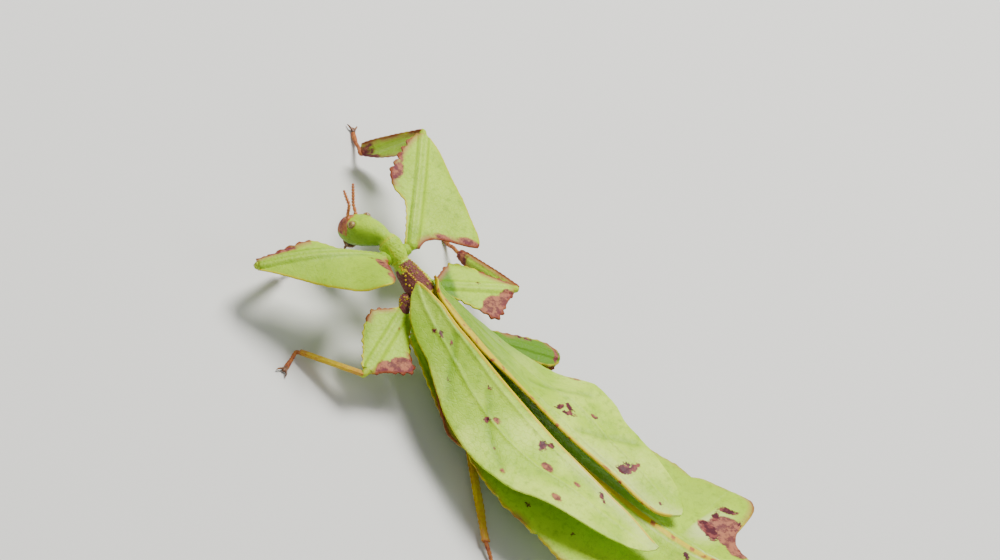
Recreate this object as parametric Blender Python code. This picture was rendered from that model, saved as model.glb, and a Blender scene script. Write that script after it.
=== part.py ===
import math

import bmesh
import bpy
from mathutils import Matrix, Vector

# Leaf insect, adult female, standing. Head toward -Y, tail toward +Y, left side toward +X, floor at z = 0.
# Lengths are in millimetres until a mesh is finished, then scaled to metres.
MM = 0.001
GAP = 0.3
CENTRE_X = -0.38
CENTRE_Y = 43.12
SIDES = {"left": 1.0, "right": -1.0}

# Body line: s runs from the front of the head (0) to the tip of the tail, pitch is its rise toward the tail.
BODY_LENGTH = 105.0
LEVEL_S = 22.0
LEVEL_Z = 11.0
PITCH = ((0.0, 36.0), (8.5, 36.0), (10.5, -16.0), (14.0, -16.0), (16.5, -7.5), (45.0, -7.5),
         (62.0, 9.0), (80.0, 13.5), (96.0, 32.0), (107.0, 33.0))
LINE_STEP = 0.25

# Head
HEAD_LENGTH = 9.3
HEAD_STATIONS = (0.0, 0.45, 1.5, 3.2, 5.0, 6.8, 8.2, 9.3)
HEAD_HALF_WIDTH = ((0.0, 0.9), (0.45, 1.9), (1.5, 2.6), (3.2, 3.05), (5.0, 3.1), (6.8, 2.75), (8.2, 2.2),
                   (9.3, 1.6))
HEAD_RISE = ((0.0, 0.8), (0.45, 1.7), (1.5, 2.3), (3.2, 2.7), (5.0, 2.7), (6.8, 2.4), (8.2, 2.0), (9.3, 1.4))
HEAD_DEPTH = ((0.0, 0.8), (0.45, 1.7), (1.5, 2.3), (3.2, 2.6), (5.0, 2.4), (6.8, 2.0), (8.2, 1.7), (9.3, 1.4))
EYE_RADIUS = 0.75
EYE_S = 4.0
EYE_X = 2.15
EYE_UP = 1.95
FEELER_RADIUS = 0.27
FEELER_X = 1.15
FEELER_S = 2.3
MOUTH = ((0.5, 0.5, -2.2, -2.7), (1.0, 1.0, -2.5, -3.3), (1.9, 1.2, -2.95, -3.65), (2.8, 0.9, -3.05, -3.6))
FEELER_JOINTS = {"left": ((0.0, -0.96, 2.18), (0.29, -2.33, 1.91)),
                 "right": ((-0.1, -1.13, 0.85), (-0.3, -2.42, 3.2))}

# Thorax: (s, half width, rise above the line, depth below it)
PROTHORAX = ((HEAD_LENGTH + GAP, 1.7, 1.5, 1.4), (10.8, 2.2, 1.9, 1.9), (12.8, 2.1, 1.9, 1.9),
             (14.5, 1.6, 1.6, 1.7))
MESOTHORAX = ((14.5 + GAP, 1.6, 1.6, 1.7), (16.5, 2.0, 1.9, 2.2), (19.0, 2.7, 2.1, 2.4),
              (21.0, 3.0, 2.1, 2.4))
METATHORAX = ((21.0 + GAP, 2.9, 2.0, 2.4), (23.5, 3.1, 1.9, 2.4), (26.0, 3.1, 1.8, 2.3))

# Abdomen: half width and roof slope along the line, core under the midline, thin lobes at the sides
ABDOMEN_HALF = ((26.3, 3.8), (30.0, 6.0), (35.0, 9.5), (40.0, 12.6), (44.5, 14.7), (47.8, 14.4), (52.0, 15.8),
                (60.0, 17.4), (68.0, 18.0), (74.0, 18.9), (76.3, 18.6), (78.0, 19.9), (82.0, 21.2),
                (84.6, 22.0), (86.6, 22.2), (87.8, 21.6), (88.8, 20.2), (89.5, 18.0), (90.1, 14.5),
                (90.4, 11.5), (92.0, 8.2), (95.0, 6.2), (100.0, 4.0), (104.0, 2.5), (105.0, 1.6))
ABDOMEN_SLOPE = ((26.3, 26.0), (32.0, 20.0), (40.0, 12.0), (50.0, 7.0), (60.0, 5.0), (76.0, 4.0), (90.0, 3.0),
                 (105.0, 3.0))
CORE_HALF = ((26.3, 2.6), (32.0, 3.8), (45.0, 5.0), (70.0, 4.6), (90.0, 3.0), (105.0, 0.9))
CORE_UP = ((26.3, 1.4), (45.0, 1.3), (80.0, 1.0), (105.0, 0.5))
CORE_DOWN = ((26.3, 2.2), (40.0, 3.2), (60.0, 3.0), (85.0, 1.8), (105.0, 0.6))
LOBE_THICK = 0.7
ABDOMEN_COLUMNS = (-1.0, -0.82, -0.64, -0.46, -0.3, -0.14, 0.0, 0.14, 0.3, 0.46, 0.64, 0.82, 1.0)
ABDOMEN_BREAK = 0.46
ABDOMEN_SPLITS = ((26.3, 47.8), (48.1, 76.3), (76.6, 90.1), (90.4, 105.0))

# Fore wings
WING_SPAN = {"left": (19.5, 84.2), "right": (20.2, 82.2)}
WING_WIDTH = {
    "left": ((19.5, 0.5), (20.3, 1.9), (21.0, 3.1), (22.5, 4.7), (24.6, 6.4), (27.0, 7.3), (31.0, 8.2),
             (36.0, 10.5), (41.0, 12.7), (47.0, 14.4), (53.0, 15.5), (58.0, 15.3), (64.0, 13.4), (70.0, 11.0),
             (76.0, 8.8), (81.0, 5.6), (83.3, 3.0), (84.2, 1.0)),
    "right": ((20.2, 0.5), (21.5, 2.8), (24.0, 5.3), (25.5, 7.5), (27.0, 9.4), (31.0, 12.0), (36.0, 14.1),
              (38.5, 14.6), (41.0, 14.9), (44.0, 15.5), (47.0, 16.1), (53.0, 16.4), (57.8, 15.6), (63.0, 12.6),
              (67.4, 11.4), (71.8, 10.6), (75.4, 9.6), (78.6, 7.8), (80.6, 4.9), (81.7, 2.6), (82.2, 0.8)),
}
WING_INNER = {
    "left": ((19.5, 2.3), (22.5, 2.2), (25.0, 2.2), (28.0, 2.7), (31.0, 3.0), (39.0, 3.0), (52.0, 2.5),
             (60.0, 2.7), (66.0, 3.2), (72.0, 4.0), (76.0, 4.4), (84.2, 6.1)),
    "right": ((20.2, 1.6), (21.3, 0.6), (22.5, -0.7), (24.0, -1.6), (27.0, -2.2), (31.0, -2.6), (35.0, -2.6),
              (39.4, -2.0), (44.6, -1.0), (50.0, -0.3), (60.0, 0.2), (68.0, 0.3), (75.8, -0.3), (78.2, -0.1),
              (79.8, 0.6), (81.4, 2.2), (82.2, 3.4)),
}
WING_LEVEL = {
    "left": ((19.5, 0.0), (84.2, 0.0)),
    "right": ((20.2, 0.0), (22.5, 0.9), (27.0, 2.5), (35.0, 2.9), (44.6, 1.3), (52.0, 0.3), (58.0, 0.0)),
}
# Downward slope of the outer part of the wing, in degrees
WING_SLOPE = {
    "left": ((21.5, 34.0), (27.0, 30.0), (31.0, 27.0), (36.0, 23.0), (42.0, 20.0), (47.0, 16.0), (53.0, 9.0),
             (58.0, 4.0), (68.0, -3.0), (84.0, -4.0)),
    "right": ((20.2, 32.0), (24.0, 34.0), (27.0, 37.5), (31.0, 35.6), (36.0, 32.6), (38.5, 30.3),
              (41.0, 27.0), (44.0, 23.6), (47.0, 19.0), (50.0, 11.3), (53.0, 5.5), (58.0, 2.8),
              (68.0, -3.2), (84.0, -4.0)),
}
WING_RISE = ((19.5, 2.5), (21.5, 3.2), (26.0, 3.9), (36.0, 4.6), (44.0, 4.7), (60.0, 4.1), (75.0, 3.4),
             (84.0, 2.6))
WING_THICK = 0.5
VEIN_HEIGHT = 0.28
VEIN_FADE = 20.0
WING_COLUMNS = (0.0, 0.08, 0.13, 0.18, 0.34, 0.46, 0.5, 0.54, 0.7, 0.86, 1.0)
WING_VEINS = (2, 6)

# Legs: places of the joints, half widths of the lobes against the distance from the base of the femur
SHAFT_RADIUS = {"fore": 0.95, "middle": 0.95, "hind": 0.75}
BLADE_THICK = 0.55
BLADE_COLUMNS = (-1.0, -0.8, -0.6, -0.4, -0.2, 0.0, 0.2, 0.4, 0.6, 0.8, 1.0)
BLADE_BREAK = 0.4
TIBIA_RADIUS = 0.62
TARSUS_RADIUS = 0.42
CLAW_RADIUS = 0.26
KNEE_GAP = 0.45
KNEE_BACK = 0.6
COXA_RADII = (0.95, 1.05, 0.95, 0.85)
SOLE_Z = 0.0
PAD_Z = 0.29
CLAW_Z = 0.55
CLAW_DROP = 0.3
LEGS = {
    "fore_left": {"root": (13.0, 12.0), "hip": (4.15, 12.5, 13.6), "knee": (23.1, 0.6, 9.0),
                  "ankle": (12.0, 1.6, 2.4), "toe": (6.0, 2.0, PAD_Z), "folded": True},
    "fore_right": {"root": (13.2, 11.7), "hip": (-4.2, 13.3, 13.1), "knee": (-23.8, -2.3, 15.6),
                   "ankle": (-22.9, -9.4, 2.8), "toe": (-27.6, -15.0, PAD_Z), "folded": False},
    "middle_left": {"root": (20.2, 9.8), "hip": (5.3, 21.8, 9.3), "knee": (19.4, 26.4, 7.0),
                    "ankle": (22.7, 15.7, 1.4), "toe": (26.8, 16.4, PAD_Z), "folded": False},
    "middle_right": {"root": (20.0, 9.9), "hip": (-5.0, 21.2, 9.8), "knee": (-18.0, 29.6, 10.4),
                     "ankle": (-22.4, 16.6, 3.2), "toe": (-25.6, 11.6, PAD_Z), "folded": False},
    "hind_left": {"root": (24.4, 8.0), "hip": (5.0, 26.4, 6.5), "knee": (10.8, 46.4, 3.7),
                  "ankle": (21.4, 61.6, 1.4), "toe": (24.2, 67.4, PAD_Z), "folded": False},
    "hind_right": {"root": (24.6, 8.2), "hip": (-5.2, 28.6, 5.8), "knee": (-20.3, 43.6, 5.0),
                   "ankle": (-14.0, 41.0, 1.8), "toe": (-12.0, 47.4, PAD_Z), "folded": True},
}
TOOTH_FIRST = 13.5
TOOTH_COUNT = 5
TOOTH_PITCH = 2.0
TOOTH_DEPTH = {"fore_left": 0.4, "fore_right": 0.75}
FORE_OUTER = ((0.0, 1.5), (1.2, 2.2), (2.4, 3.6), (3.2, 6.2), (3.7, 10.5), (4.3, 12.7), (5.2, 12.9),
              (10.75, 10.2), (17.25, 6.5), (22.5, 3.4), (25.0, 1.3))
FORE_OUTER_CURLED = ((0.0, 2.2), (0.6, 5.5), (1.6, 10.2), (2.8, 12.2), (4.3, 12.9), (6.0, 12.4), (10.75, 9.6),
                     (17.25, 5.6), (22.5, 2.6), (25.0, 1.3))
FORE_INNER = ((0.0, 1.4), (4.0, 1.7), (8.5, 2.3), (11.0, 4.9), (14.0, 5.8), (18.0, 4.7), (22.5, 3.0),
              (25.0, 1.3))
FORE_INNER_CURLED = ((0.0, 1.4), (8.5, 1.6), (11.0, 2.6), (14.0, 3.3), (18.0, 2.7), (22.5, 1.7), (25.0, 1.3))
MIDDLE_OUTER = ((0.0, 1.3), (1.0, 2.0), (4.4, 3.3), (8.0, 5.2), (10.6, 7.0), (12.2, 5.9), (14.6, 2.8),
                (16.4, 1.2))
MIDDLE_INNER = ((0.0, 1.3), (0.8, 2.2), (4.8, 5.1), (8.5, 4.5), (13.0, 2.6), (16.4, 1.2))
HIND_OUTER = ((0.0, 1.3), (3.0, 1.5), (9.0, 2.2), (18.0, 2.8), (20.0, 2.4), (21.5, 1.3))
HIND_INNER = ((0.0, 1.3), (3.0, 1.5), (9.0, 2.0), (18.0, 2.6), (20.0, 2.2), (21.5, 1.3))
LEVEL = ((0.0, 0.0), (25.0, 0.0))
BLADES = {
    "fore_left": {"outer": FORE_OUTER_CURLED, "inner": FORE_INNER_CURLED, "bow": 2.0,
                  "tilt": ((0.0, 31.0), (4.0, 30.0), (10.0, 14.0), (17.0, 4.0), (25.0, 4.0))},
    "fore_right": {"outer": FORE_OUTER, "inner": FORE_INNER, "bow": 0.4, "tilt": LEVEL},
    "middle_left": {"outer": MIDDLE_OUTER, "inner": MIDDLE_INNER, "bow": 0.0, "tilt": LEVEL},
    "middle_right": {"outer": MIDDLE_OUTER, "inner": MIDDLE_INNER, "bow": 0.0, "tilt": LEVEL},
    "hind_left": {"outer": HIND_OUTER, "inner": HIND_INNER, "bow": 0.0, "tilt": LEVEL},
    "hind_right": {"outer": HIND_OUTER, "inner": HIND_INNER, "bow": 0.0, "tilt": LEVEL},
}
TIBIA_OUTER = {"fore_left": 1.4, "fore_right": 3.2, "middle_left": 1.7, "middle_right": 1.9, "hind_left": 1.0,
               "hind_right": 1.0}
TIBIA_INNER = {"fore_left": 1.0, "fore_right": 2.8, "middle_left": 1.0, "middle_right": 1.0, "hind_left": 1.0,
               "hind_right": 1.0}
TIBIA_ROLL = {"fore_left": -46.0, "fore_right": 0.0, "middle_left": -35.0, "middle_right": 0.0,
              "hind_left": 0.0, "hind_right": 0.0}

COLOURS = {
    "skin_green": (0.30, 0.46, 0.10),
    "wing_green": (0.42, 0.58, 0.20),
    "head_green": (0.27, 0.45, 0.09),
    "mauve": (0.20, 0.06, 0.07),
    "brown": (0.30, 0.13, 0.05),
    "eye_olive": (0.12, 0.10, 0.03),
}
ROUGHNESS = {"skin_green": 0.5, "wing_green": 0.45, "head_green": 0.5, "mauve": 0.6, "brown": 0.55,
             "eye_olive": 0.2}


def between(stops, at):
    """Smooth curve through the stops, without overshoot."""
    if at <= stops[0][0]:
        return stops[0][1]
    if at >= stops[-1][0]:
        return stops[-1][1]
    count = len(stops)
    slopes = [(stops[i + 1][1] - stops[i][1]) / (stops[i + 1][0] - stops[i][0]) for i in range(count - 1)]
    k = max(i for i in range(count - 1) if stops[i][0] <= at)

    def tangent(i):
        if i == 0:
            return slopes[0]
        if i == count - 1:
            return slopes[-1]
        if slopes[i - 1] * slopes[i] <= 0.0:
            return 0.0
        return 2.0 * slopes[i - 1] * slopes[i] / (slopes[i - 1] + slopes[i])

    span = stops[k + 1][0] - stops[k][0]
    t = (at - stops[k][0]) / span
    low, high = stops[k][1], stops[k + 1][1]
    return ((2 * t ** 3 - 3 * t ** 2 + 1) * low + (t ** 3 - 2 * t ** 2 + t) * span * tangent(k)
            + (3 * t ** 2 - 2 * t ** 3) * high + (t ** 3 - t ** 2) * span * tangent(k + 1))


def straight(stops, at):
    """Straight lines through the stops."""
    if at <= stops[0][0]:
        return stops[0][1]
    for (a, low), (b, high) in zip(stops, stops[1:]):
        if at <= b:
            return low + (high - low) * (at - a) / (b - a)
    return stops[-1][1]


def body_line():
    count = int(110.0 / LINE_STEP) + 1
    pitch = [math.radians(straight(PITCH, i * LINE_STEP)) for i in range(count)]
    y, z = [0.0], [0.0]
    for i in range(1, count):
        middle = (pitch[i] + pitch[i - 1]) / 2
        y.append(y[-1] + math.cos(middle) * LINE_STEP)
        z.append(z[-1] + math.sin(middle) * LINE_STEP)
    level = int(LEVEL_S / LINE_STEP)
    y0, z0 = y[level] - LEVEL_S, z[level] - LEVEL_Z
    return [(i * LINE_STEP, y[i] - y0, z[i] - z0, pitch[i]) for i in range(count)]


LINE = body_line()


def on_body(s, x=0.0, up=0.0):
    """Point at station s of the body line, x to the left and up square to the line."""
    at = min(max(s, 0.0) / LINE_STEP, len(LINE) - 1.001)
    k = int(at)
    t = at - k
    y = LINE[k][1] * (1 - t) + LINE[k + 1][1] * t
    z = LINE[k][2] * (1 - t) + LINE[k + 1][2] * t
    pitch = LINE[k][3] * (1 - t) + LINE[k + 1][3] * t
    return Vector((x, y - math.sin(pitch) * up, z + math.cos(pitch) * up))


def steps(first, last, size):
    count = max(1, round((last - first) / size))
    return [first + (last - first) * i / count for i in range(count + 1)]


def material(name):
    slot = bpy.data.materials.new(name)
    slot.use_nodes = True
    shader = slot.node_tree.nodes["Principled BSDF"]
    shader.inputs["Base Color"].default_value = (*COLOURS[name], 1.0)
    shader.inputs["Roughness"].default_value = ROUGHNESS[name]
    shader.inputs["Metallic"].default_value = 0.0
    slot.diffuse_color = (*COLOURS[name], 1.0)
    return slot


def finish(bm, name, slot):
    bmesh.ops.triangulate(bm, faces=[f for f in bm.faces if len(f.verts) > 3])
    bmesh.ops.recalc_face_normals(bm, faces=bm.faces[:])
    mesh = bpy.data.meshes.new(name)
    bm.to_mesh(mesh)
    bm.free()
    mesh.transform(Matrix.Scale(MM, 4) @ Matrix.Translation((-CENTRE_X, -CENTRE_Y, 0.0)))
    for face in mesh.polygons:
        face.use_smooth = True
    piece = bpy.data.objects.new(name, mesh)
    mesh.materials.append(SLOTS[slot])
    bpy.context.collection.objects.link(piece)
    return piece


def sheet(name, rows, columns, place, slot):
    """A plate of rows by columns, its two faces split alike; place(row, column, side) gives each point."""
    bm = bmesh.new()
    nr, nc = len(rows) - 1, len(columns) - 1
    bmesh.ops.create_grid(bm, x_segments=nr, y_segments=nc, size=1.0)
    bmesh.ops.triangulate(bm, faces=bm.faces[:], quad_method="FIXED")
    lower = bm.verts[:]
    made = bmesh.ops.extrude_face_region(bm, geom=bm.faces[:])["geom"]
    upper = {v for v in made if isinstance(v, bmesh.types.BMVert)}
    for v in lower + list(upper):
        i = round((v.co.x + 1.0) / 2.0 * nr)
        j = round((v.co.y + 1.0) / 2.0 * nc)
        v.co = place(rows[i], columns[j], 1.0 if v in upper else -1.0)
    return finish(bm, name, slot)


def tube(name, count, sides, place, slot):
    """A closed tube of rings; place(ring, angle) gives each point."""
    bm = bmesh.new()
    bmesh.ops.create_circle(bm, cap_ends=True, segments=sides, radius=1.0)
    rings = {v: 0 for v in bm.verts}
    face = bm.faces[:]
    for ring in range(1, count):
        made = bmesh.ops.extrude_face_region(bm, geom=face)["geom"]
        if ring > 1:
            bmesh.ops.delete(bm, geom=face, context="FACES_ONLY")
        face = [f for f in made if isinstance(f, bmesh.types.BMFace)]
        rings.update({v: ring for v in made if isinstance(v, bmesh.types.BMVert)})
    for v, ring in rings.items():
        v.co = place(ring, math.atan2(v.co.y, v.co.x))
    return finish(bm, name, slot)


def along_path(points, radii, name, sides, slot, flat=1.0, floor=None):
    """A tube along points; flat squeezes it from above; what would pass under the floor lies on it."""
    def place(ring, angle):
        before = points[max(ring - 1, 0)]
        after = points[min(ring + 1, len(points) - 1)]
        ahead = (after - before).normalized()
        side = ahead.cross(Vector((0, 0, 1))).normalized()
        up = side.cross(ahead)
        co = points[ring] + side * radii[ring] * math.cos(angle) + up * radii[ring] * flat * math.sin(angle)
        if floor is not None:
            co.z = max(co.z, floor)
        return co
    return tube(name, len(points), sides, place, slot)


def body_tube(name, stations, sides, slot):
    def place(ring, angle):
        s, half, rise, depth = stations[ring]
        high = rise if math.sin(angle) > 0 else depth
        return on_body(s, half * math.cos(angle), high * math.sin(angle))
    return tube(name, len(stations), sides, place, slot)


# Head with a socket for each eye
def head():
    def place(ring, angle):
        s = HEAD_STATIONS[ring]
        high = straight(HEAD_RISE if math.sin(angle) > 0 else HEAD_DEPTH, s)
        return on_body(s, straight(HEAD_HALF_WIDTH, s) * math.cos(angle), high * math.sin(angle))
    piece = tube("head", len(HEAD_STATIONS), 20, place, "head_green")
    for side in SIDES.values():
        centre = on_body(EYE_S, side * EYE_X, EYE_UP)
        cutter = ball("socket_cutter", centre, EYE_RADIUS + GAP, "head_green", 10, 8)
        cut = piece.modifiers.new("socket", "BOOLEAN")
        cut.operation = "DIFFERENCE"
        cut.solver = "EXACT"
        cut.object = cutter
        cutter.hide_render = True
        cutter.display_type = "WIRE"
    return piece


def ball(name, centre, radius, slot, segments=14, rings=10):
    bm = bmesh.new()
    bmesh.ops.create_uvsphere(bm, u_segments=segments, v_segments=rings, radius=radius)
    bmesh.ops.translate(bm, verts=bm.verts[:], vec=centre)
    return finish(bm, name, slot)


def eyes():
    for word, side in SIDES.items():
        ball("eye_" + word, on_body(EYE_S, side * EYE_X, EYE_UP), EYE_RADIUS, "eye_olive")


def feelers():
    for word, side in SIDES.items():
        shaft, whip = (Vector(joint) for joint in FEELER_JOINTS[word])
        flat_at = straight(HEAD_HALF_WIDTH, FEELER_S)
        high = straight(HEAD_RISE, FEELER_S) * math.sqrt(1.0 - (FEELER_X / flat_at) ** 2) + GAP * 1.6
        base = on_body(FEELER_S, side * FEELER_X, high)
        elbow = base + shaft
        tip = elbow + whip
        points = [base, base.lerp(elbow, 0.5), elbow, elbow.lerp(tip, 0.33), elbow.lerp(tip, 0.66), tip]
        radii = [FEELER_RADIUS * k for k in (1.0, 1.0, 1.0, 0.95, 0.9, 0.6)]
        along_path(points, radii, "antenna_" + word, 8, "brown")


def mouth():
    def place(ring, angle):
        s, half, high, low = MOUTH[ring]
        centre, reach = (high + low) / 2, (high - low) / 2
        return on_body(s, half * math.cos(angle), centre + reach * math.sin(angle))
    tube("mouthparts", len(MOUTH), 10, place, "brown")


# Abdomen in four stretches, each a plate with a core
def reach_across(fraction, half, core, break_at):
    """Distance from the midline: the core first, then evenly out to the edge."""
    core = min(core, half * 0.75)
    k = abs(fraction)
    if k <= break_at:
        far = core * k / break_at
    else:
        far = core + (half - core) * (k - break_at) / (1.0 - break_at)
    return math.copysign(far, fraction)


def abdomen_point(s, fraction, side):
    half, core = between(ABDOMEN_HALF, s), between(CORE_HALF, s)
    x = reach_across(fraction, half, core, ABDOMEN_BREAK)
    slope = math.radians(between(ABDOMEN_SLOPE, s))
    inside = max(0.0, 1.0 - (abs(x) / min(core, half * 0.75)) ** 2)
    if side > 0:
        thick = LOBE_THICK / 2 + (between(CORE_UP, s) - LOBE_THICK / 2) * inside
    else:
        thick = -LOBE_THICK / 2 - (between(CORE_DOWN, s) - LOBE_THICK / 2) * inside
    return on_body(s, x * math.cos(slope), thick - abs(x) * math.sin(slope))


def abdomen():
    names = ("abdomen_front", "abdomen_middle", "abdomen_rear", "abdomen_tip")
    for name, (first, last) in zip(names, ABDOMEN_SPLITS):
        rows = steps(first, last, 2.6)
        sheet(name, rows, ABDOMEN_COLUMNS, abdomen_point, "skin_green")
    for word, side in SIDES.items():
        start = on_body(BODY_LENGTH + GAP, side * 0.9, 0.0)
        end = on_body(BODY_LENGTH + 2.0, side * 1.5, 0.1)
        points = [start, start.lerp(end, 0.35), start.lerp(end, 0.7), end]
        along_path(points, [0.45, 0.6, 0.55, 0.2], "cercus_" + word, 8, "skin_green", 0.5)


# Fore wings: level beside the inner margin for WING_LEVEL, then falling away
def wing_point(word, s, q, side, vein=0.0):
    far = between(WING_WIDTH[word], s) * q
    level = min(far, between(WING_LEVEL[word], s))
    slope = math.radians(between(WING_SLOPE[word], s))
    x = between(WING_INNER[word], s) + level + (far - level) * math.cos(slope)
    high = between(WING_RISE, s) - (far - level) * math.sin(slope)
    high += side * WING_THICK / 2 + (vein if side > 0 else 0.0)
    return on_body(s, SIDES[word] * x, high)


def wings():
    for word, (first, last) in WING_SPAN.items():
        front = [first, first + 0.7, first + 1.4, first + 2.3]
        rows = front + steps(first + 3.6, last - 4.0, 2.7) + [last - 2.6, last - 1.4, last - 0.5, last]
        ridges = [WING_COLUMNS[k] for k in WING_VEINS]

        def place(s, q, side):
            fade = min(1.0, (last - s) / VEIN_FADE)
            vein = VEIN_HEIGHT * fade if q in ridges else 0.0
            return wing_point(word, s, q, side, vein)
        sheet("tegmen_" + word, rows, WING_COLUMNS, place, "wing_green")


# Legs
def leg_frame(ahead):
    """Directions across a leg piece: level out to its rear lobe, and up from it."""
    out = ahead.cross(Vector((0, 0, 1))).normalized()
    if out.y < 0:
        out.negate()
    up = ahead.cross(out)
    if up.z < 0:
        up.negate()
    return out, up


def turned(out, up, angle):
    """The two directions turned so that out leans toward up by angle degrees."""
    turn = math.radians(angle)
    return out * math.cos(turn) + up * math.sin(turn), up * math.cos(turn) - out * math.sin(turn)


def toothed(outline, depth):
    """The outline with rounded teeth from TOOTH_FIRST on."""
    last = TOOTH_FIRST + TOOTH_PITCH * TOOTH_COUNT
    stops = [stop for stop in outline if not TOOTH_FIRST - GAP < stop[0] < last + GAP]
    for k in range(TOOTH_COUNT):
        at = TOOTH_FIRST + TOOTH_PITCH * k
        crest = at + TOOTH_PITCH / 2
        stops.append((at, between(outline, at) - depth))
        stops.append((crest, between(outline, crest) + depth / 4))
    stops.append((last, between(outline, last) - depth / 2))
    return tuple(sorted(stops))


def blade(name, start, end, out, up, shape, radius, slot):
    """A leg piece with a round shaft and a thin lobe on each side."""
    ahead = (end - start).normalized()
    length = (end - start).length
    outer, inner = shape["outer"], shape["inner"]
    full = outer[-1][0]
    stops = sorted({a for a, b in outer} | {a for a, b in inner})
    kept = [stops[0]] + [b for a, b in zip(stops, stops[1:-1]) if b - a > 0.25] + [stops[-1]]
    rows = []
    for a, b in zip(kept, kept[1:]):
        rows += steps(a, b, 2.2)[:-1]
    rows.append(kept[-1])

    def place(a, v, side):
        half = between(outer if v > 0 else inner, a)
        far = reach_across(v, half, radius * 1.3, BLADE_BREAK)
        ring = abs(v) / BLADE_BREAK
        shaft = math.sqrt(max(0.0, 1.0 - ring ** 2)) if ring < 1.0 else 0.0
        thick = BLADE_THICK / 2 + (radius - BLADE_THICK / 2) * shaft
        rise = shape["bow"] * math.sin(math.pi * a / full)
        away, above = turned(out, up, between(shape["tilt"], a))
        return start + ahead * (a / full * length) + away * far + above * (side * thick) + up * rise
    return sheet(name, rows, BLADE_COLUMNS, place, slot)


def thorax_half(y, stations):
    near = min(stations, key=lambda station: abs(on_body(station[0]).y - y))
    return near[1]


def leg(name, joint):
    kind, word = name.split("_")
    turn = SIDES[word]
    stations = {"fore": PROTHORAX, "middle": MESOTHORAX, "hind": METATHORAX}[kind]
    root_y, root_z = joint["root"]
    side_x = thorax_half(root_y, stations) + GAP
    root = Vector((turn * side_x, root_y, root_z))
    hip, knee, ankle, toe = (Vector(joint[k]) for k in ("hip", "knee", "ankle", "toe"))
    thigh = (knee - hip).normalized()
    out, up = leg_frame(thigh)
    radius = SHAFT_RADIUS[kind]

    # The coxa starts parallel to the side of the thorax and ends parallel to the base of the femur
    socket = hip - thigh * GAP
    reach = (socket - root).normalized()
    points = [root, root.lerp(socket, 0.35), root.lerp(socket, 0.7), socket]
    coxa_out = reach.cross(Vector((0, 0, 1))).normalized()
    coxa_up = coxa_out.cross(reach)

    def coxa_point(ring, angle):
        co = points[ring] + (coxa_out * math.cos(angle) + coxa_up * math.sin(angle)) * COXA_RADII[ring]
        if ring == 0:
            co += reach * ((turn * side_x - co.x) / reach.x)
        if ring == 3:
            co += reach * ((socket - co).dot(thigh) / reach.dot(thigh))
        return co
    tube("coxa_" + name, len(points), 10, coxa_point, "skin_green")
    shape = dict(BLADES[name])
    if kind == "fore":
        shape["inner"] = toothed(shape["inner"], TOOTH_DEPTH[name])
    blade("femur_" + name, hip, knee, out, up, shape, radius, "skin_green")

    # The tibia starts past the end of the femur, or under it where the leg is folded
    shin = (ankle - knee).normalized()
    bend = thigh.dot(shin)
    if joint["folded"]:
        below = (shin - thigh * bend).normalized()
        start = knee - thigh * KNEE_BACK + below * (radius + TIBIA_RADIUS + KNEE_GAP)
    else:
        start = knee + thigh * (TIBIA_RADIUS + KNEE_GAP) + shin * GAP
    shin = (ankle - start).normalized()
    across = (out - shin * out.dot(shin)).normalized()
    across, rise = turned(across, shin.cross(across), TIBIA_ROLL[name])
    long = (ankle - start).length
    lobe, low = TIBIA_OUTER[name], TIBIA_INNER[name]
    outline = ((0.0, 0.8), (long * 0.3, lobe), (long * 0.6, lobe * 1.1), (long * 0.85, lobe * 0.75),
               (long, 0.8))
    narrow = ((0.0, 0.8), (long * 0.4, 0.4 + low * 0.6), (long * 0.85, low), (long, 0.8))
    shape = {"outer": outline, "inner": narrow, "bow": 0.0, "tilt": LEVEL}
    blade("tibia_" + name, start, ankle, across, rise, shape, TIBIA_RADIUS, "skin_green")

    # The tarsus comes down to the floor and lies along it; the claws spread before its end
    foot = (toe - ankle).normalized()
    first = ankle + foot * GAP + shin * (GAP * 0.8 + TARSUS_RADIUS * shin.cross(foot).length)
    points = [first.lerp(toe, k) for k in (0.0, 0.3, 0.55, 0.78, 0.92, 1.0)]
    for k, keep in ((2, 0.3), (3, 0.12), (4, 0.0)):
        points[k].z = min(points[k].z, PAD_Z + (points[0].z - PAD_Z) * keep)
    radii = [TARSUS_RADIUS * k for k in (0.85, 0.95, 1.0, 1.15, 1.3, 1.0)]
    along_path(points, radii, "tarsus_" + name, 8, "brown", 1.0, SOLE_Z)
    flat = Vector((foot.x, foot.y, 0.0)).normalized()
    cross = Vector((-flat.y, flat.x, 0.0))
    root = Vector((toe.x, toe.y, CLAW_Z)) + flat * (GAP + CLAW_RADIUS)
    drop = Vector((0.0, 0.0, -CLAW_DROP))
    path = [root + cross * 1.0 + flat * 1.3 + drop, root + cross * 0.75 + flat * 0.6, root,
            root - cross * 0.75 + flat * 0.6, root - cross * 1.0 + flat * 1.3 + drop]
    along_path(path, [CLAW_RADIUS * k for k in (0.4, 0.85, 1.0, 0.85, 0.4)], "claws_" + name, 6, "brown")


def legs():
    for name, joint in LEGS.items():
        leg(name, joint)


for item in list(bpy.data.objects):
    bpy.data.objects.remove(item, do_unlink=True)
SLOTS = {name: material(name) for name in COLOURS}
head()
eyes()
feelers()
mouth()
body_tube("prothorax", PROTHORAX, 14, "head_green")
body_tube("mesothorax", MESOTHORAX, 14, "mauve")
body_tube("metathorax", METATHORAX, 14, "skin_green")
abdomen()
wings()
legs()
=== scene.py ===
import math
import random
from functools import lru_cache

import bmesh
import bpy
import numpy as np
from mathutils import Matrix, Vector, noise


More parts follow.
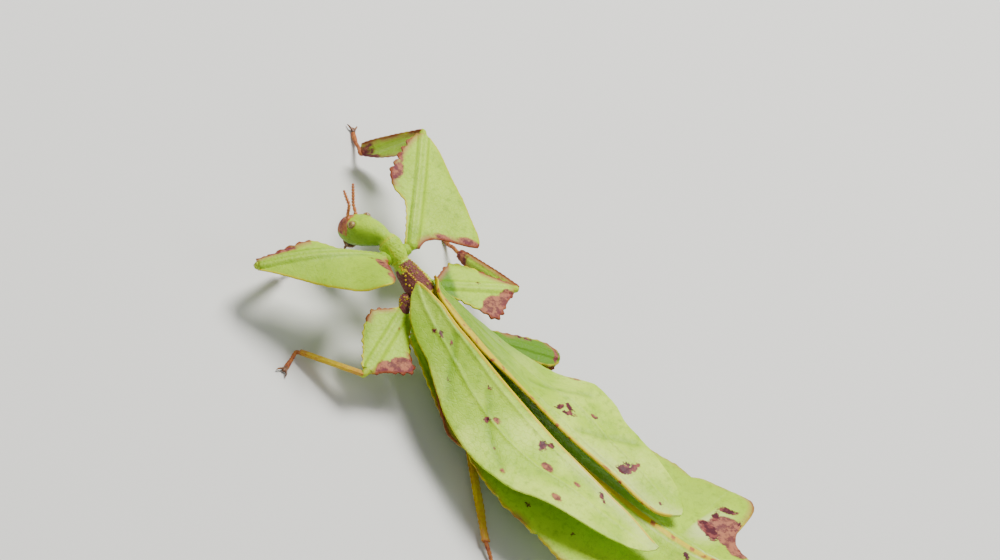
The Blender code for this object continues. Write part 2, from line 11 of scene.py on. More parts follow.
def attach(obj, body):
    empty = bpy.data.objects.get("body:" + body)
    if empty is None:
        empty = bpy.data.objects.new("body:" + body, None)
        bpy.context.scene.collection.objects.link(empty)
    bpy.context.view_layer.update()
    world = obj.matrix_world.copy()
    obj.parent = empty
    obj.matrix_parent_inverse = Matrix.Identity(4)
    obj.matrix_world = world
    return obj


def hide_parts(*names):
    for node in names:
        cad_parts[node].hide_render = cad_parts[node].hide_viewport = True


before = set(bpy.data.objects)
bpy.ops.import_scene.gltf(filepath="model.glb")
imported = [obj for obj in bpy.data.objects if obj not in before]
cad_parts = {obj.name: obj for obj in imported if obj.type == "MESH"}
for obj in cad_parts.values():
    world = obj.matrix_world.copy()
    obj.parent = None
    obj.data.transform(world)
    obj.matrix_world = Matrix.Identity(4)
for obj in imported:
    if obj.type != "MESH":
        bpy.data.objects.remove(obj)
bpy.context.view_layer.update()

# Lengths are in millimetres; a finished mesh is moved into the frame, which is in metres
MM = 0.001
CENTRE = Vector((-0.38, 43.12, 0))
TO_FRAME = Matrix.Scale(MM, 4) @ Matrix.Translation(-CENTRE)
UP = Vector((0, 0, 1))

# Body line
LEVEL_S = 22
LEVEL_Z = 11
PITCH = ((0, 36), (8.5, 36), (10.5, -16), (14, -16), (16.5, -7.5), (45, -7.5), (62, 9), (80, 13.5),
    (96, 32), (107, 33))
LINE_STEP = 0.25
LINE_END = 110

# Body: station, half width, rise above the line and depth below it, as far as it is round
BODY_LENGTH = 105
NECKS = (9.45, 14.65, 21.15)
ROUND_BODY = ((0, 0.9, 0.8, 0.8), (0.45, 1.9, 1.7, 1.7), (1.5, 2.6, 2.3, 2.3), (3.2, 3.05, 2.7, 2.6),
    (5, 3.1, 2.7, 2.4), (6.8, 2.75, 2.4, 2), (8.2, 2.2, 2, 1.7), (9.45, 1.55, 1.4, 1.35),
    (10.8, 2.2, 1.9, 1.9), (12.8, 2.1, 1.9, 1.9), (14.65, 1.6, 1.55, 1.65), (16.5, 2, 1.9, 2.2),
    (19, 2.7, 2.1, 2.4), (21, 3, 2.1, 2.4), (23.5, 3.1, 1.9, 2.4), (26, 3.3, 1.8, 2.3))
LEAF_HALF = ((28, 4.6), (30, 6), (35, 9.5), (40, 12.6), (44.5, 14.7), (47.8, 14.4), (52, 15.8), (60, 17.4),
    (68, 18), (74, 18.9), (76.3, 18.6), (78, 19.9), (82, 21.2), (84.6, 22), (86.6, 22.2), (87.8, 21.6),
    (88.8, 20.2), (89.5, 18), (90.1, 14.5), (90.4, 11.5), (92, 8.2), (95, 6.2), (100, 4), (104, 2.5),
    (105, 1.6))
BODY_HALF = tuple(row[:2] for row in ROUND_BODY) + LEAF_HALF
RISE = tuple((row[0], row[2]) for row in ROUND_BODY)
DEPTH = tuple((row[0], row[3]) for row in ROUND_BODY)
ABDOMEN_SLOPE = ((26.3, 26), (32, 20), (40, 12), (50, 7), (60, 5), (76, 4), (90, 3), (105, 3))
CORE_HALF = ((26.3, 2.6), (32, 3.8), (45, 5), (70, 4.6), (90, 3), (105, 0.9))
CORE_UP = ((26.3, 1.4), (45, 1.3), (80, 1), (105, 0.5))
CORE_DOWN = ((26.3, 2.2), (40, 3.2), (60, 3), (85, 1.8), (105, 0.6))
LOBE_THICK = 0.7
EDGE_SHARE = 0.22
SEGMENT_LINES = (33, 40.5, 47.9, 57.5, 67, 76.4, 83.3, 90.2, 95.5, 100.5)
LEAF_FROM = (26, 31)
BODY_ROWS = (0.26, 0.5)
BODY_COLUMNS = 71
RIM_STEP = 0.3
NECK_PINCH = 0.1
MIDRIB_UP = 0.3
MIDRIB_DOWN = 0.16
MIDRIB_HALF = 0.45
SEGMENT_BOW = 0.012
SEGMENT_GROOVE = 0.1
CERCUS_RADII = (0.5, 0.55, 0.6, 0.62, 0.6, 0.55, 0.48, 0.36, 0.12)

# Head
EYE_RADIUS = 0.75
EYE_S = 4
EYE_X = 2.15
EYE_UP = 1.95
EYE_SHAPE = (0.98, 1.02, 0.96)
EYE_BROW = (0.16, 0.28)
FEELER_RADIUS = 0.27
FEELER_FLARE = 1.22
FEELER_SUNK = 0.4
FEELER_X = 1.15
FEELER_S = 2.3
FEELER_JOINTS = {
    "left": ((0, -0.96, 2.18), (0.29, -2.33, 1.91)),
    "right": ((-0.1, -1.13, 0.85), (-0.3, -2.42, 3.2)),
}
FEELER_RINGS = 120
FEELER_GIRTH = ((0, 1.2), (0.1, 1.15), (0.18, 0.95), (0.6, 1), (0.9, 0.9), (0.97, 0.7), (1, 0.25))
FEELER_BEADS = (0.16, 0.3, 0.4, 0.49, 0.58, 0.67, 0.76, 0.85, 0.93)
# Mouth: station, half width, top and bottom; palps: offset and length, girth and joints
MOUTH = ((0.5, 0.4, -1.9, -2.4), (0.75, 0.9, -2, -2.9), (1.2, 1.15, -2.3, -3.35), (1.9, 1.2, -2.6, -3.6),
    (2.5, 1, -2.7, -3.55), (2.9, 0.5, -2.7, -3.2))
PALPS = ((0.9, 2.3), (1.35, 3))
PALP_GIRTH = ((0, 1), (0.9, 0.85), (1, 0.3))
PALP_JOINTS = (0.35, 0.68)
GAP = 0.3

# Fore wings
WING_SPAN = {"left": (19.5, 84.2), "right": (20.2, 82.2)}
WING_WIDTH = {
    "left": ((19.5, 0.5), (20.3, 1.9), (21, 3.1), (22.5, 4.7), (24.6, 6.4), (27, 7.3), (31, 8.2),
        (36, 10.5), (41, 12.7), (47, 14.4), (53, 15.5), (58, 15.3), (64, 13.4), (70, 11), (76, 8.8),
        (81, 5.6), (83.3, 3), (84.2, 1)),
    "right": ((20.2, 0.5), (21.5, 2.8), (24, 5.3), (25.5, 7.5), (27, 9.4), (31, 12), (36, 14.1),
        (38.5, 14.6), (41, 14.9), (44, 15.5), (47, 16.1), (53, 16.4), (57.8, 15.6), (63, 12.6),
        (67.4, 11.4), (71.8, 10.6), (75.4, 9.6), (78.6, 7.8), (80.6, 4.9), (81.7, 2.6), (82.2, 0.8)),
}
WING_INNER = {
    "left": ((19.5, 2.3), (22.5, 2.2), (25, 2.2), (28, 2.7), (31, 3), (39, 3), (52, 2.5), (60, 2.7),
        (66, 3.2), (72, 4), (76, 4.4), (84.2, 6.1)),
    "right": ((20.2, 1.6), (21.3, 0.6), (22.5, -0.7), (24, -1.6), (27, -2.2), (31, -2.6), (35, -2.6),
        (39.4, -2), (44.6, -1), (50, -0.3), (60, 0.2), (68, 0.3), (75.8, -0.3), (78.2, -0.1), (79.8, 0.6),
        (81.4, 2.2), (82.2, 3.4)),
}
WING_LEVEL = {
    "left": ((19.5, 0), (84.2, 0)),
    "right": ((20.2, 0), (22.5, 0.9), (27, 2.5), (35, 2.9), (44.6, 1.3), (52, 0.3), (58, 0)),
}
WING_SLOPE = {
    "left": ((21.5, 34), (27, 30), (31, 27), (36, 23), (42, 20), (47, 16), (53, 9), (58, 4), (68, -3),
        (84, -4)),
    "right": ((20.2, 32), (24, 34), (27, 37.5), (31, 35.6), (36, 32.6), (38.5, 30.3), (41, 27), (44, 23.6),
        (47, 19), (50, 11.3), (53, 5.5), (58, 2.8), (68, -3.2), (84, -4)),
}
WING_RISE = ((19.5, 2.5), (21.5, 3.2), (26, 3.9), (36, 4.6), (44, 4.7), (60, 4.1), (75, 3.4), (84, 2.6))
WING_THICK = 0.5
WING_ENDS = 3
WING_ROWS = (0.15, 0.3)
VEIN_HEIGHT = 0.28
VEIN_HALF = 0.42
VEIN_FADE = 20

# Legs: shaft radius, strength of the painted shade in its grooves, mesh size, columns, curl of the lobes and
# rust of their margins
KINDS = {"fore": (0.95, 1, 0.3, 51, 0.12, 0.8), "middle": (0.95, 0.5, 0.26, 41, 0.12, 0.8),
    "hind": (0.75, 0.8, 0.3, 25, 0.04, 0.4)}
BLADE_THICK = 0.55
SHAFT_SHARE = 0.3
KEEL_AT = 0.5
TIBIA_RADIUS = 0.62
TARSUS_RADIUS = 0.42
# Girth of the coxa, the knee and the tarsus from root to tip, and where the tarsus is jointed
COXA_GIRTH = ((0, 0.9), (0.2, 0.98), (0.36, 1.12), (0.52, 1.1), (0.64, 0.9), (0.72, 1), (0.85, 0.95),
    (1, 0.55))
KNEE_GIRTH = ((0, 0.5), (0.3, 0.72), (0.6, 0.7), (1, 0.4))
TARSUS_GIRTH = ((0, 0.7), (0.15, 0.88), (0.6, 0.9), (0.85, 1.15), (0.95, 1.15), (1, 0.7))
TARSUS_JOINTS = (0.3, 0.42, 0.52, 0.61)
CLAW_RADIUS = 0.26
KNEE_GAP = 0.45
KNEE_BACK = 0.6
PAD_Z = 0.29
CLAW_Z = 0.55
CLAW_DROP = 0.3
FEMUR_SUNK = 0.4
TIBIA_SUNK = 0.2
TIBIA_MESH = 0.3
TIBIA_COLUMNS = 21
TIBIA_CURL = 0.03
# Where each coxa starts along the body and in height, hip, knee, ankle, toe, and whether the leg is folded
LEGS = {
    "fore_left": ((13, 12), (4.15, 12.5, 13.6), (23.1, 0.6, 9), (12, 1.6, 2.4), (6, 2, PAD_Z), True),
    "fore_right": ((13.2, 11.7), (-4.2, 13.3, 13.1), (-23.8, -2.3, 15.6), (-22.9, -9.4, 2.8),
        (-27.6, -15, PAD_Z), False),
    "middle_left": ((20.2, 9.8), (5.3, 21.8, 9.3), (19.4, 26.4, 7), (22.7, 15.7, 1.4), (26.8, 16.4, PAD_Z),
        False),
    "middle_right": ((20, 9.9), (-5, 21.2, 9.8), (-18, 29.6, 10.4), (-22.4, 16.6, 3.2),
        (-25.6, 11.6, PAD_Z), False),
    "hind_left": ((24.4, 8), (5, 26.4, 6.5), (10.8, 46.4, 3.7), (21.4, 61.6, 1.4), (24.2, 67.4, PAD_Z),
        False),
    "hind_right": ((24.6, 8.2), (-5.2, 28.6, 5.8), (-20.3, 43.6, 5), (-14, 41, 1.8), (-12, 47.4, PAD_Z),
        True),
}
TOOTH_FIRST = 13.5
TOOTH_LAST = 23.5
TOOTH_PITCH = 2
FORE_OUTER = ((0, 1.5), (1.2, 2.2), (2.4, 3.6), (3.2, 6.2), (3.7, 10.5), (4.3, 12.7), (5.2, 12.9),
    (10.75, 10.2), (17.25, 6.5), (22.5, 3.4), (25, 1.3))
FORE_OUTER_CURLED = ((0, 2.2), (0.6, 5.5), (1.6, 10.2), (2.8, 12.2), (4.3, 12.9), (6, 12.4), (10.75, 9.6),
    (17.25, 5.6), (22.5, 2.6), (25, 1.3))
FORE_INNER = ((0, 1.4), (4, 1.7), (8.5, 2.3), (11, 4.9), (14, 5.8), (18, 4.7), (22.5, 3), (25, 1.3))
FORE_INNER_CURLED = ((0, 1.4), (8.5, 1.6), (11, 2.6), (14, 3.3), (18, 2.7), (22.5, 1.7), (25, 1.3))
MIDDLE_OUTER = ((0, 1.3), (1, 2), (4.4, 3.3), (8, 5.2), (10.6, 7), (12.2, 5.9), (14.6, 2.8), (16.4, 1.2))
MIDDLE_INNER = ((0, 1.3), (0.8, 2.2), (4.8, 5.1), (8.5, 4.5), (13, 2.6), (16.4, 1.2))
HIND_OUTER = ((0, 1.3), (3, 1.5), (9, 2.2), (18, 2.8), (20, 2.4), (21.5, 1.3))
HIND_INNER = ((0, 1.3), (3, 1.5), (9, 2), (18, 2.6), (20, 2.2), (21.5, 1.3))
LEVEL = ((0, 0), (25, 0))
CURLED = ((0, 31), (4, 30), (10, 14), (17, 4), (25, 4))
# Outer and inner lobe, bow and tilt of each femur, and outer lobe, inner lobe and roll of each tibia
BLADES = {
    "fore_left": (FORE_OUTER_CURLED, FORE_INNER_CURLED, 2, CURLED),
    "fore_right": (FORE_OUTER, FORE_INNER, 0.4, LEVEL),
    "middle": (MIDDLE_OUTER, MIDDLE_INNER, 0, LEVEL),
    "hind": (HIND_OUTER, HIND_INNER, 0, LEVEL),
}
TIBIAE = {"fore_left": (1.4, 1, -46), "fore_right": (3.2, 2.8, 0), "middle_left": (1.7, 1, -35),
    "middle_right": (1.9, 1, 0), "hind_left": (0.75, 0.75, 0), "hind_right": (1, 1, 0)}
SIDES = {"left": 1, "right": -1}

# Marks and their plain values: depth inside a blush or spot, distance from a margin or rib, else strength
FAR_OFF = 9.0
PLAIN = {"blush": -FAR_OFF, "spot": -FAR_OFF, "margin": FAR_OFF, "rib": FAR_OFF, "rust": 0, "grain": 0,
         "tan": 0, "gold": 0, "fold": 0, "deep": 0, "pale": 0}


@lru_cache(maxsize=None)
def between(stops, at):
    """Smooth curve through the stops, without overshoot."""
    if at <= stops[0][0]:
        return stops[0][1]
    if at >= stops[-1][0]:
        return stops[-1][1]
    count = len(stops)
    slopes = [(stops[i + 1][1] - stops[i][1]) / (stops[i + 1][0] - stops[i][0]) for i in range(count - 1)]
    k = max(i for i in range(count - 1) if stops[i][0] <= at)

    def tangent(i):
        if i == 0:
            return slopes[0]
        if i == count - 1:
            return slopes[-1]
        if slopes[i - 1] * slopes[i] <= 0:
            return 0
        return 2 * slopes[i - 1] * slopes[i] / (slopes[i - 1] + slopes[i])

    span = stops[k + 1][0] - stops[k][0]
    t = (at - stops[k][0]) / span
    low, high = stops[k][1], stops[k + 1][1]
    return ((2 * t ** 3 - 3 * t ** 2 + 1) * low + (t ** 3 - 2 * t ** 2 + t) * span * tangent(k)
            + (3 * t ** 2 - 2 * t ** 3) * high + (t ** 3 - t ** 2) * span * tangent(k + 1))


def straight(stops, at):
    """Straight lines through the stops."""
    return float(np.interp(at, *zip(*stops)))


def body_line():
    count = int(LINE_END / LINE_STEP) + 1
    pitch = [math.radians(straight(PITCH, i * LINE_STEP)) for i in range(count)]
    y, z = [0], [0]
    for i in range(1, count):
        middle = (pitch[i] + pitch[i - 1]) / 2
        y.append(y[-1] + math.cos(middle) * LINE_STEP)
        z.append(z[-1] + math.sin(middle) * LINE_STEP)
    level = int(LEVEL_S / LINE_STEP)
    y0, z0 = y[level] - LEVEL_S, z[level] - LEVEL_Z
    return [(y[i] - y0, z[i] - z0, pitch[i]) for i in range(count)]


LINE = body_line()


def on_body(s, x=0, up=0):
    """Point at station s of the body line, x to the left and up square to the line."""
    at = min(max(s, 0) / LINE_STEP, len(LINE) - 1.001)
    k = int(at)
    t = at - k
    y, z, pitch = (LINE[k][i] * (1 - t) + LINE[k + 1][i] * t for i in range(3))
    return Vector((x, y - math.sin(pitch) * up, z + math.cos(pitch) * up))


def steps(first, last, size):
    count = max(1, round((last - first) / size))
    return [first + (last - first) * i / count for i in range(count + 1)]


def ease(low, high, at):
    t = min(1, max(0, (at - low) / (high - low)))
    return t * t * (3 - 2 * t)


def hump(distance, width):
    return math.exp(-(distance / width) ** 2)


def thinned(margin, reach, least=EDGE_SHARE):
    """Share of its thickness that a leaf keeps near its margin."""
    return least + (1 - least) * math.sqrt(min(1, max(0, margin) / reach))


def lump(x, y, z=0):
    """Smooth noise from about -1 to 1."""
    return noise.noise(Vector((x, y, z)))


def girths(stops, count, size=1, rings=(), depth=0, width=1):
    """Radii along a tube, pinched by depth at each of its rings."""
    radii = []
    for k in range(count):
        t = k / (count - 1)
        radii.append(size * between(stops, t) * (1 - depth * sum(hump(t - at, width) for at in rings)))
    return radii


def rounded(points, count):
    """As many points as count says, evenly spaced on a smooth curve through points."""
    runs = [0]
    for a, b in zip(points, points[1:]):
        runs.append(runs[-1] + (b - a).length)
    axes = [tuple((run, p[k]) for run, p in zip(runs, points)) for k in range(3)]
    return [Vector([between(axis, runs[-1] * i / (count - 1)) for axis in axes]) for i in range(count)]


def to_line(points, x, y):
    """Distance from each (x, y) to a line through points."""
    best = np.full(np.shape(x), FAR_OFF * FAR_OFF)
    for (ax, ay), (bx, by) in zip(points[:-1], points[1:]):
        run = max((bx - ax) ** 2 + (by - ay) ** 2, 1e-12)
        t = np.clip(((x - ax) * (bx - ax) + (y - ay) * (by - ay)) / run, 0, 1)
        best = np.minimum(best, np.hypot(x - ax - t * (bx - ax), y - ay - t * (by - ay)))
    return best


def in_patches(patches, x, y):
    """How far inside the patches each (x, y) lies; each is an oval: place, half length, half width, turn."""
    best = np.full(np.shape(x), -FAR_OFF)
    for px, py, long, wide, turn in patches:
        c, s = math.cos(math.radians(turn)), math.sin(math.radians(turn))
        dx, dy = x - px, y - py
        reach = np.hypot((dx * c + dy * s) / long, (dy * c - dx * s) / wide)
        best = np.maximum(best, (1 - reach) * min(long, wide))
    return best


def marked_mesh():
    """An empty bmesh and its layers of marks."""
    bm = bmesh.new()
    return bm, {name: bm.verts.layers.float.new(name) for name in PLAIN}


def put(v, layers, co, marks):
    """Move a point and give it its marks."""
    v.co = co
    for name, plain in PLAIN.items():
        v[layers[name]] = marks.get(name, plain)


def as_mesh(name, bm):
    """Turn a bmesh into a mesh, and free it."""
    mesh = bpy.data.meshes.new(name)
    bm.to_mesh(mesh)
    bm.free()
    return mesh


def add(name, data):
    """Place new data in the scene."""
    piece = bpy.data.objects.new(name, data)
    bpy.context.collection.objects.link(piece)
    return piece


class Shell:
    """Closed surfaces joined in one mesh, each point with its marks."""

    def __init__(self):
        self.whole = marked_mesh()[0]

    def join(self, bm):
        """Add a finished surface to the whole."""
        bmesh.ops.recalc_face_normals(bm, faces=bm.faces[:])
        part = as_mesh("part", bm)
        self.whole.from_mesh(part)
        bpy.data.meshes.remove(part)

    def sheet(self, rows, columns, place):
        """A plate of rows by columns with two faces; place(i, j, side) gives each point and its marks."""
        nr, nc = rows - 1, columns - 1
        bm, layers = marked_mesh()
        bmesh.ops.create_grid(bm, x_segments=nr, y_segments=nc, size=1)
        lower = bm.verts[:]
        made = bmesh.ops.extrude_face_region(bm, geom=bm.faces[:])["geom"]
        upper = [v for v in made if isinstance(v, bmesh.types.BMVert)]
        for side, group in ((-1, lower), (1, upper)):
            for v in group:
                i, j = round((v.co.x + 1) / 2 * nr), round((v.co.y + 1) / 2 * nc)
                put(v, layers, *place(i, j, side))
        self.join(bm)

    def tube(self, count, sides, place):
        """A closed tube of rings; place(ring, angle) gives each point and its marks."""
        bm, layers = marked_mesh()
        bmesh.ops.create_circle(bm, cap_ends=True, segments=sides, radius=1)
        rings = {v: 0 for v in bm.verts}
        face = bm.faces[:]
        for ring in range(1, count):
            made = bmesh.ops.extrude_face_region(bm, geom=face)["geom"]
            if ring > 1:
                bmesh.ops.delete(bm, geom=face, context="FACES_ONLY")
            face = [f for f in made if isinstance(f, bmesh.types.BMFace)]
            rings.update({v: ring for v in made if isinstance(v, bmesh.types.BMVert)})
        for v, ring in rings.items():
            put(v, layers, *place(ring, math.atan2(v.co.y, v.co.x)))
        self.join(bm)

    def path(self, points, radii, sides, marks=None, flat=1, floor=None):
        """A tube along points, squeezed from top to bottom by flat; marks(ring) gives the marks."""
        def place(ring, angle):
            ahead = (points[min(ring + 1, len(points) - 1)] - points[max(ring - 1, 0)]).normalized()
            side = ahead.cross(UP).normalized()
            rise = side.cross(ahead) * flat
            co = points[ring] + (side * math.cos(angle) + rise * math.sin(angle)) * radii[ring]
            if floor is not None:
                co.z = max(co.z, floor)
            return co, marks(ring) if marks else {}
        self.tube(len(points), sides, place)

    def grains(self, places, marks):
        """Small rounded bumps; places lists their centres and radii."""
        bm, layers = marked_mesh()
        for centre, radius in places:
            for v in bmesh.ops.create_icosphere(bm, subdivisions=1, radius=radius)["verts"]:
                put(v, layers, v.co + centre, marks)
        self.join(bm)


def finish(bm, name, slot, material, *nodes):
    """A piece of the model from a whole bmesh, in place of the named solids."""
    mesh = as_mesh(name, bm)
    mesh.transform(TO_FRAME)
    mesh.shade_smooth()
    mesh.materials.append(material)
    piece = add(name, mesh)
    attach(piece, "root")
    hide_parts(*nodes)


# Shader arithmetic
class Num:
    """A number that a shader works out."""

    def __init__(self, paint, socket):
        self.paint = paint
        self.socket = socket

    def __add__(self, other):
        return self.paint.math("ADD", self, other)

    def __sub__(self, other):
        return self.paint.math("SUBTRACT", self, other)

    def __rsub__(self, other):
        return self.paint.math("SUBTRACT", other, self)

    def __mul__(self, other):
        return self.paint.math("MULTIPLY", self, other)

    __radd__ = __add__
    __rmul__ = __mul__


class Paint:
    """A material's node tree."""

    def __init__(self, name, **constants):
        self.material = bpy.data.materials.new(name)
        self.material.use_nodes = True
        self.tree = self.material.node_tree
        self.shader = self.tree.nodes["Principled BSDF"]
        for socket, value in constants.items():
            self.shader.inputs[socket.replace("_", " ")].default_value = value
        self.place = self.node("ShaderNodeTexCoord").outputs["Object"]

    def node(self, kind, settings=None, values=None):
        made = self.tree.nodes.new(kind)
        for key, value in (settings or {}).items():
            setattr(made, key, value)
        for key, value in (values or {}).items():
            self.feed(made.inputs[key], value)
        return made

    def feed(self, socket, value):
        if isinstance(value, Num):
            value = value.socket
        if isinstance(value, bpy.types.NodeSocket):
            self.tree.links.new(value, socket)
        elif isinstance(value, tuple) and len(value) == 3 and socket.type == "RGBA":
            socket.default_value = (*value, 1)
        else:
            socket.default_value = value

    def math(self, operation, first, second):
        made = self.node("ShaderNodeMath", {"operation": operation}, {0: first, 1: second})
        return Num(self, made.outputs[0])

    def mark(self, name):
        made = self.node("ShaderNodeAttribute", {"attribute_type": "GEOMETRY", "attribute_name": name})
        return Num(self, made.outputs["Fac"])

    def noise(self, size, detail=2, rough=0.5, stretch=None):
        """Soft noise from 0 to 1 whose lumps are size millimetres across."""
        place = self.place
        if stretch:
            place = self.node("ShaderNodeMapping", {}, {0: self.place, "Scale": stretch}).outputs[0]
        made = self.node("ShaderNodeTexNoise", {}, {"Vector": place, "Scale": 1 / (size * MM),
                                                    "Detail": detail, "Roughness": rough})
        return Num(self, made.outputs[0])

    def cells(self, size, feature="DISTANCE_TO_EDGE"):
        made = self.node("ShaderNodeTexVoronoi", {"feature": feature},
                         {"Vector": self.place, "Scale": 1 / (size * MM)})
        return Num(self, made.outputs["Distance"])

    def ease(self, value, low, high):
        made = self.node("ShaderNodeMapRange", {"interpolation_type": "SMOOTHSTEP"},
                         {"Value": value, "From Min": low, "From Max": high})
        return Num(self, made.outputs[0])

    def blend(self, factor, first, second):
        made = self.node("ShaderNodeMix", {"data_type": "RGBA"}, {0: factor, 6: first, 7: second})
        return made.outputs[2]

    def bump(self, height, strength, distance):
        values = {"Height": height, "Strength": strength, "Distance": distance * MM}
        return self.node("ShaderNodeBump", {}, values).outputs["Normal"]

    def coat(self, colour, roughness, normal):
        for socket, value in (("Base Color", colour), ("Roughness", roughness), ("Normal", normal)):
            self.feed(self.shader.inputs[socket], value)
        return self.material


# Colours of the skin, the wings and their marks
LIME = (0.37, 0.58, 0.01)
PALE = (0.64, 0.80, 0.20)
# DEEP is also the colour of painted shade, and CREAM the colour of painted highlights
DEEP = (0.10, 0.25, 0)
CREAM = (0.72, 0.78, 0.34)
GOLD = (0.72, 0.52, 0)
MAUVE = (0.15, 0.014, 0.04)
PINK = (0.40, 0.12, 0.075)
RUST = (0.22, 0.045, 0.008)
PLUM = (0.075, 0.006, 0.016)
SPECK = (0.26, 0.06, 0.05)
UMBER = (0.06, 0.02, 0.012)
TAN = (0.44, 0.15, 0.035)


def leaf_paint(name, body, light, vein_size):
    """Green leafy skin with yellow or rusty margins, mauve blushes, plum spots and gold ribs."""
    paint = Paint(name, Subsurface_Weight=0.12, Subsurface_Radius=(0.0012, 0.0018, 0.0006), IOR=1.42,
                  Specular_IOR_Level=0.3)
    blend, soft, mark = paint.blend, paint.ease, paint.mark
    fine, ragged = paint.noise(1.2, 3, 0.6), (paint.noise(0.8, 3, 0.65) - 0.5) * 1.6
    net = soft(paint.cells(vein_size), 0, 0.09)
    rib = soft(mark("rib") + ragged * 0.08, 0.42, 0.1)
    margin, grain = mark("margin") + ragged * 0.2, mark("grain")
    rust = soft(mark("rust") + ragged * 0.3, 0.3, 0.8)
    blush = soft(mark("blush") + ragged * 0.6, -0.15, 0.25)
    withered = blend(soft(paint.noise(1.3, 4, 0.7) - grain * 0.25, 0.42, 0.58), MAUVE, PINK)
    withered = blend(soft(mark("blush") + ragged * 0.5, 0.3, 0) * 0.3, withered, RUST)
    colour = blend(soft(paint.noise(8, 3), 0.35, 0.65), body, light)
    for share, layer in (
            (soft(fine, 0.48, 0.75) * 0.35, DEEP),
            ((1 - net) * 0.07, DEEP),
            (rib * 0.16, PALE),
            # Pale cream: painted highlights beside the abdomen's midrib and along the rear of the wings, and
            # a pale patch near the rear of the abdomen
            (soft(mark("pale") + ragged * 0.25, 0.1, 0.9) * 0.8, CREAM),
            # Dark green: painted shade on the head's lower side, the body's underside, down the abdomen
            # between the wings, on the coxae and femora; also darker green at the wing bases and on small
            # grains
            (soft(mark("deep") + ragged * 0.12, 0, 1), DEEP),
            # Painted shade in the creases of the wing folds and in the grooves along the femur shafts
            (mark("fold") * 0.42, DEEP),
            (soft(mark("gold") + ragged * 0.18, 0.25, 0.75) * 0.85, GOLD),
            (soft(margin, 0.4, 0.08) * 0.6, GOLD),
            (soft(margin, 1.6, 0.3) * rust * 0.75, PINK),
            (soft(mark("tan") + ragged * 0.22, 0.25, 0.75), TAN),
            (blush * 0.95, withered),
            (soft(margin, 0.55, 0.15) * rust * 0.9, RUST),
            (soft(mark("spot") + ragged, -0.1, 0.15), blend(soft(fine, 0.45, 0.65), PLUM, SPECK))):
        colour = blend(share, colour, layer)
    height = paint.cells(0.42, "F1") * (0.35 + grain * 1.5) + net * 0.3 + fine * 0.6 + rib * 0.4
    return paint.coat(colour, 0.4 + fine * 0.2 + blush * 0.15, paint.bump(height, 0.6, 0.12))


def horn_paint(name, body, dark, size, roughness):
    """Feelers, claws and mouthparts."""
    paint = Paint(name, IOR=1.45)
    fine, broad = paint.noise(size, 3, 0.6), paint.noise(size * 5, 2)
    colour = paint.blend(paint.ease(broad, 0.35, 0.7), body, dark)
    colour = paint.blend(paint.ease(fine, 0.55, 0.75) * 0.5, colour, UMBER)
    return paint.coat(colour, roughness + fine * 0.15, paint.bump(fine, 0.4, 0.05))


def eye_paint():
    paint = Paint("eye_olive_glossy", IOR=1.4, Coat_Weight=0.25, Coat_Roughness=0.25)
    facets = paint.cells(0.09)
    bands = paint.noise(0.5, 2, 0.5, (1, 3, 1))
    colour = paint.blend(paint.ease(bands, 0.42, 0.6), (0.34, 0.22, 0.06), (0.13, 0.035, 0.01))
    colour = paint.blend(paint.ease(facets, 0.2, 0) * 0.25, colour, (0.50, 0.42, 0.14))
    return paint.coat(colour, 0.34 + facets * 0.2, paint.bump(facets, 0.25, 0.02))


# Body skin: head, thorax and abdomen in one surface
def body_teeth(s):
    """Small uneven scallops of the leafy margin."""
    wave = lump(s * 0.75, 3.1) + 0.5 * lump(s * 2.1, 7.7)
    return 0.32 * wave * ease(30, 36, s) * ease(104.5, 102, s)


def body_half(s):
    half = between(BODY_HALF, s) + body_teeth(s)
    nick = sum(hump(s - line, 0.5) for line in SEGMENT_LINES[2:7])
    return half - 0.45 * nick


def body_height(s, x, half, side, margin):
    """Height of the skin over the body line at x, on its upper or lower side."""
    k = min(1, abs(x) / half)
    tall = between(RISE if side > 0 else DEPTH, s)
    neck = sum(hump(s - at, 0.22) for at in NECKS)
    oval = tall * (1 - NECK_PINCH * neck) * math.sqrt(1 - k * k) + 0.03
    leafy = ease(*LEAF_FROM, s)
    if leafy <= 0:
        return oval
    core = min(between(CORE_HALF, s), half * 0.75)
    inside = ease(0, 1, 1 - (x / core) ** 2)
    thick = between(CORE_UP if side > 0 else CORE_DOWN, s)
    lobe = LOBE_THICK / 2 * thinned(margin, 1.4) + (thick - LOBE_THICK / 2) * inside
    lobe += (MIDRIB_UP if side > 0 else -MIDRIB_DOWN) * hump(x, MIDRIB_HALF)
    groove = sum(hump(s - at - SEGMENT_BOW * abs(x), 0.3) for at in SEGMENT_LINES)
    lobe -= SEGMENT_GROOVE * groove * min(1, margin)
    return oval * (1 - leafy) + lobe * leafy


# Patches on the body, in station and distance from the midline
BODY_BLUSH = ((92.5, 5, 5.5, 2.4, 10), (88, -11.2, 3.2, 3, 20), (90.3, -8.6, 2.6, 2.2, 60),
    (86.4, -8.2, 2.9, 1.7, 25), (85.4, -15.6, 1.6, 0.5, -15), (19.2, 2.8, 3.8, 1.6, 0),
    (93, -6.6, 3.2, 1.7, 35))
BODY_SPOTS = ((86.8, -7.8, 3, 1.3, 35), (85.2, -12.6, 1.6, 0.7, 70), (86, -15.6, 2, 0.9, -15),
    (89.6, -13.4, 1, 0.4, 80), (88, 2, 0.9, 0.5, 20), (47, 12.5, 0.5, 0.4, 0), (62, 14, 0.6, 0.4, 30),
    (71, 13, 0.5, 0.4, 60), (66, -14.5, 0.5, 0.4, 0))
# Plum stripe down the back of the thorax: first and last station, middle and half width
STRIPE = (14.9, 21.9)
STRIPE_X = 0.3
STRIPE_HALF = 1.15
ROSY = {"tan": 0.5, "blush": 0.05}
AMBER = {"gold": 1, "tan": 0.46}


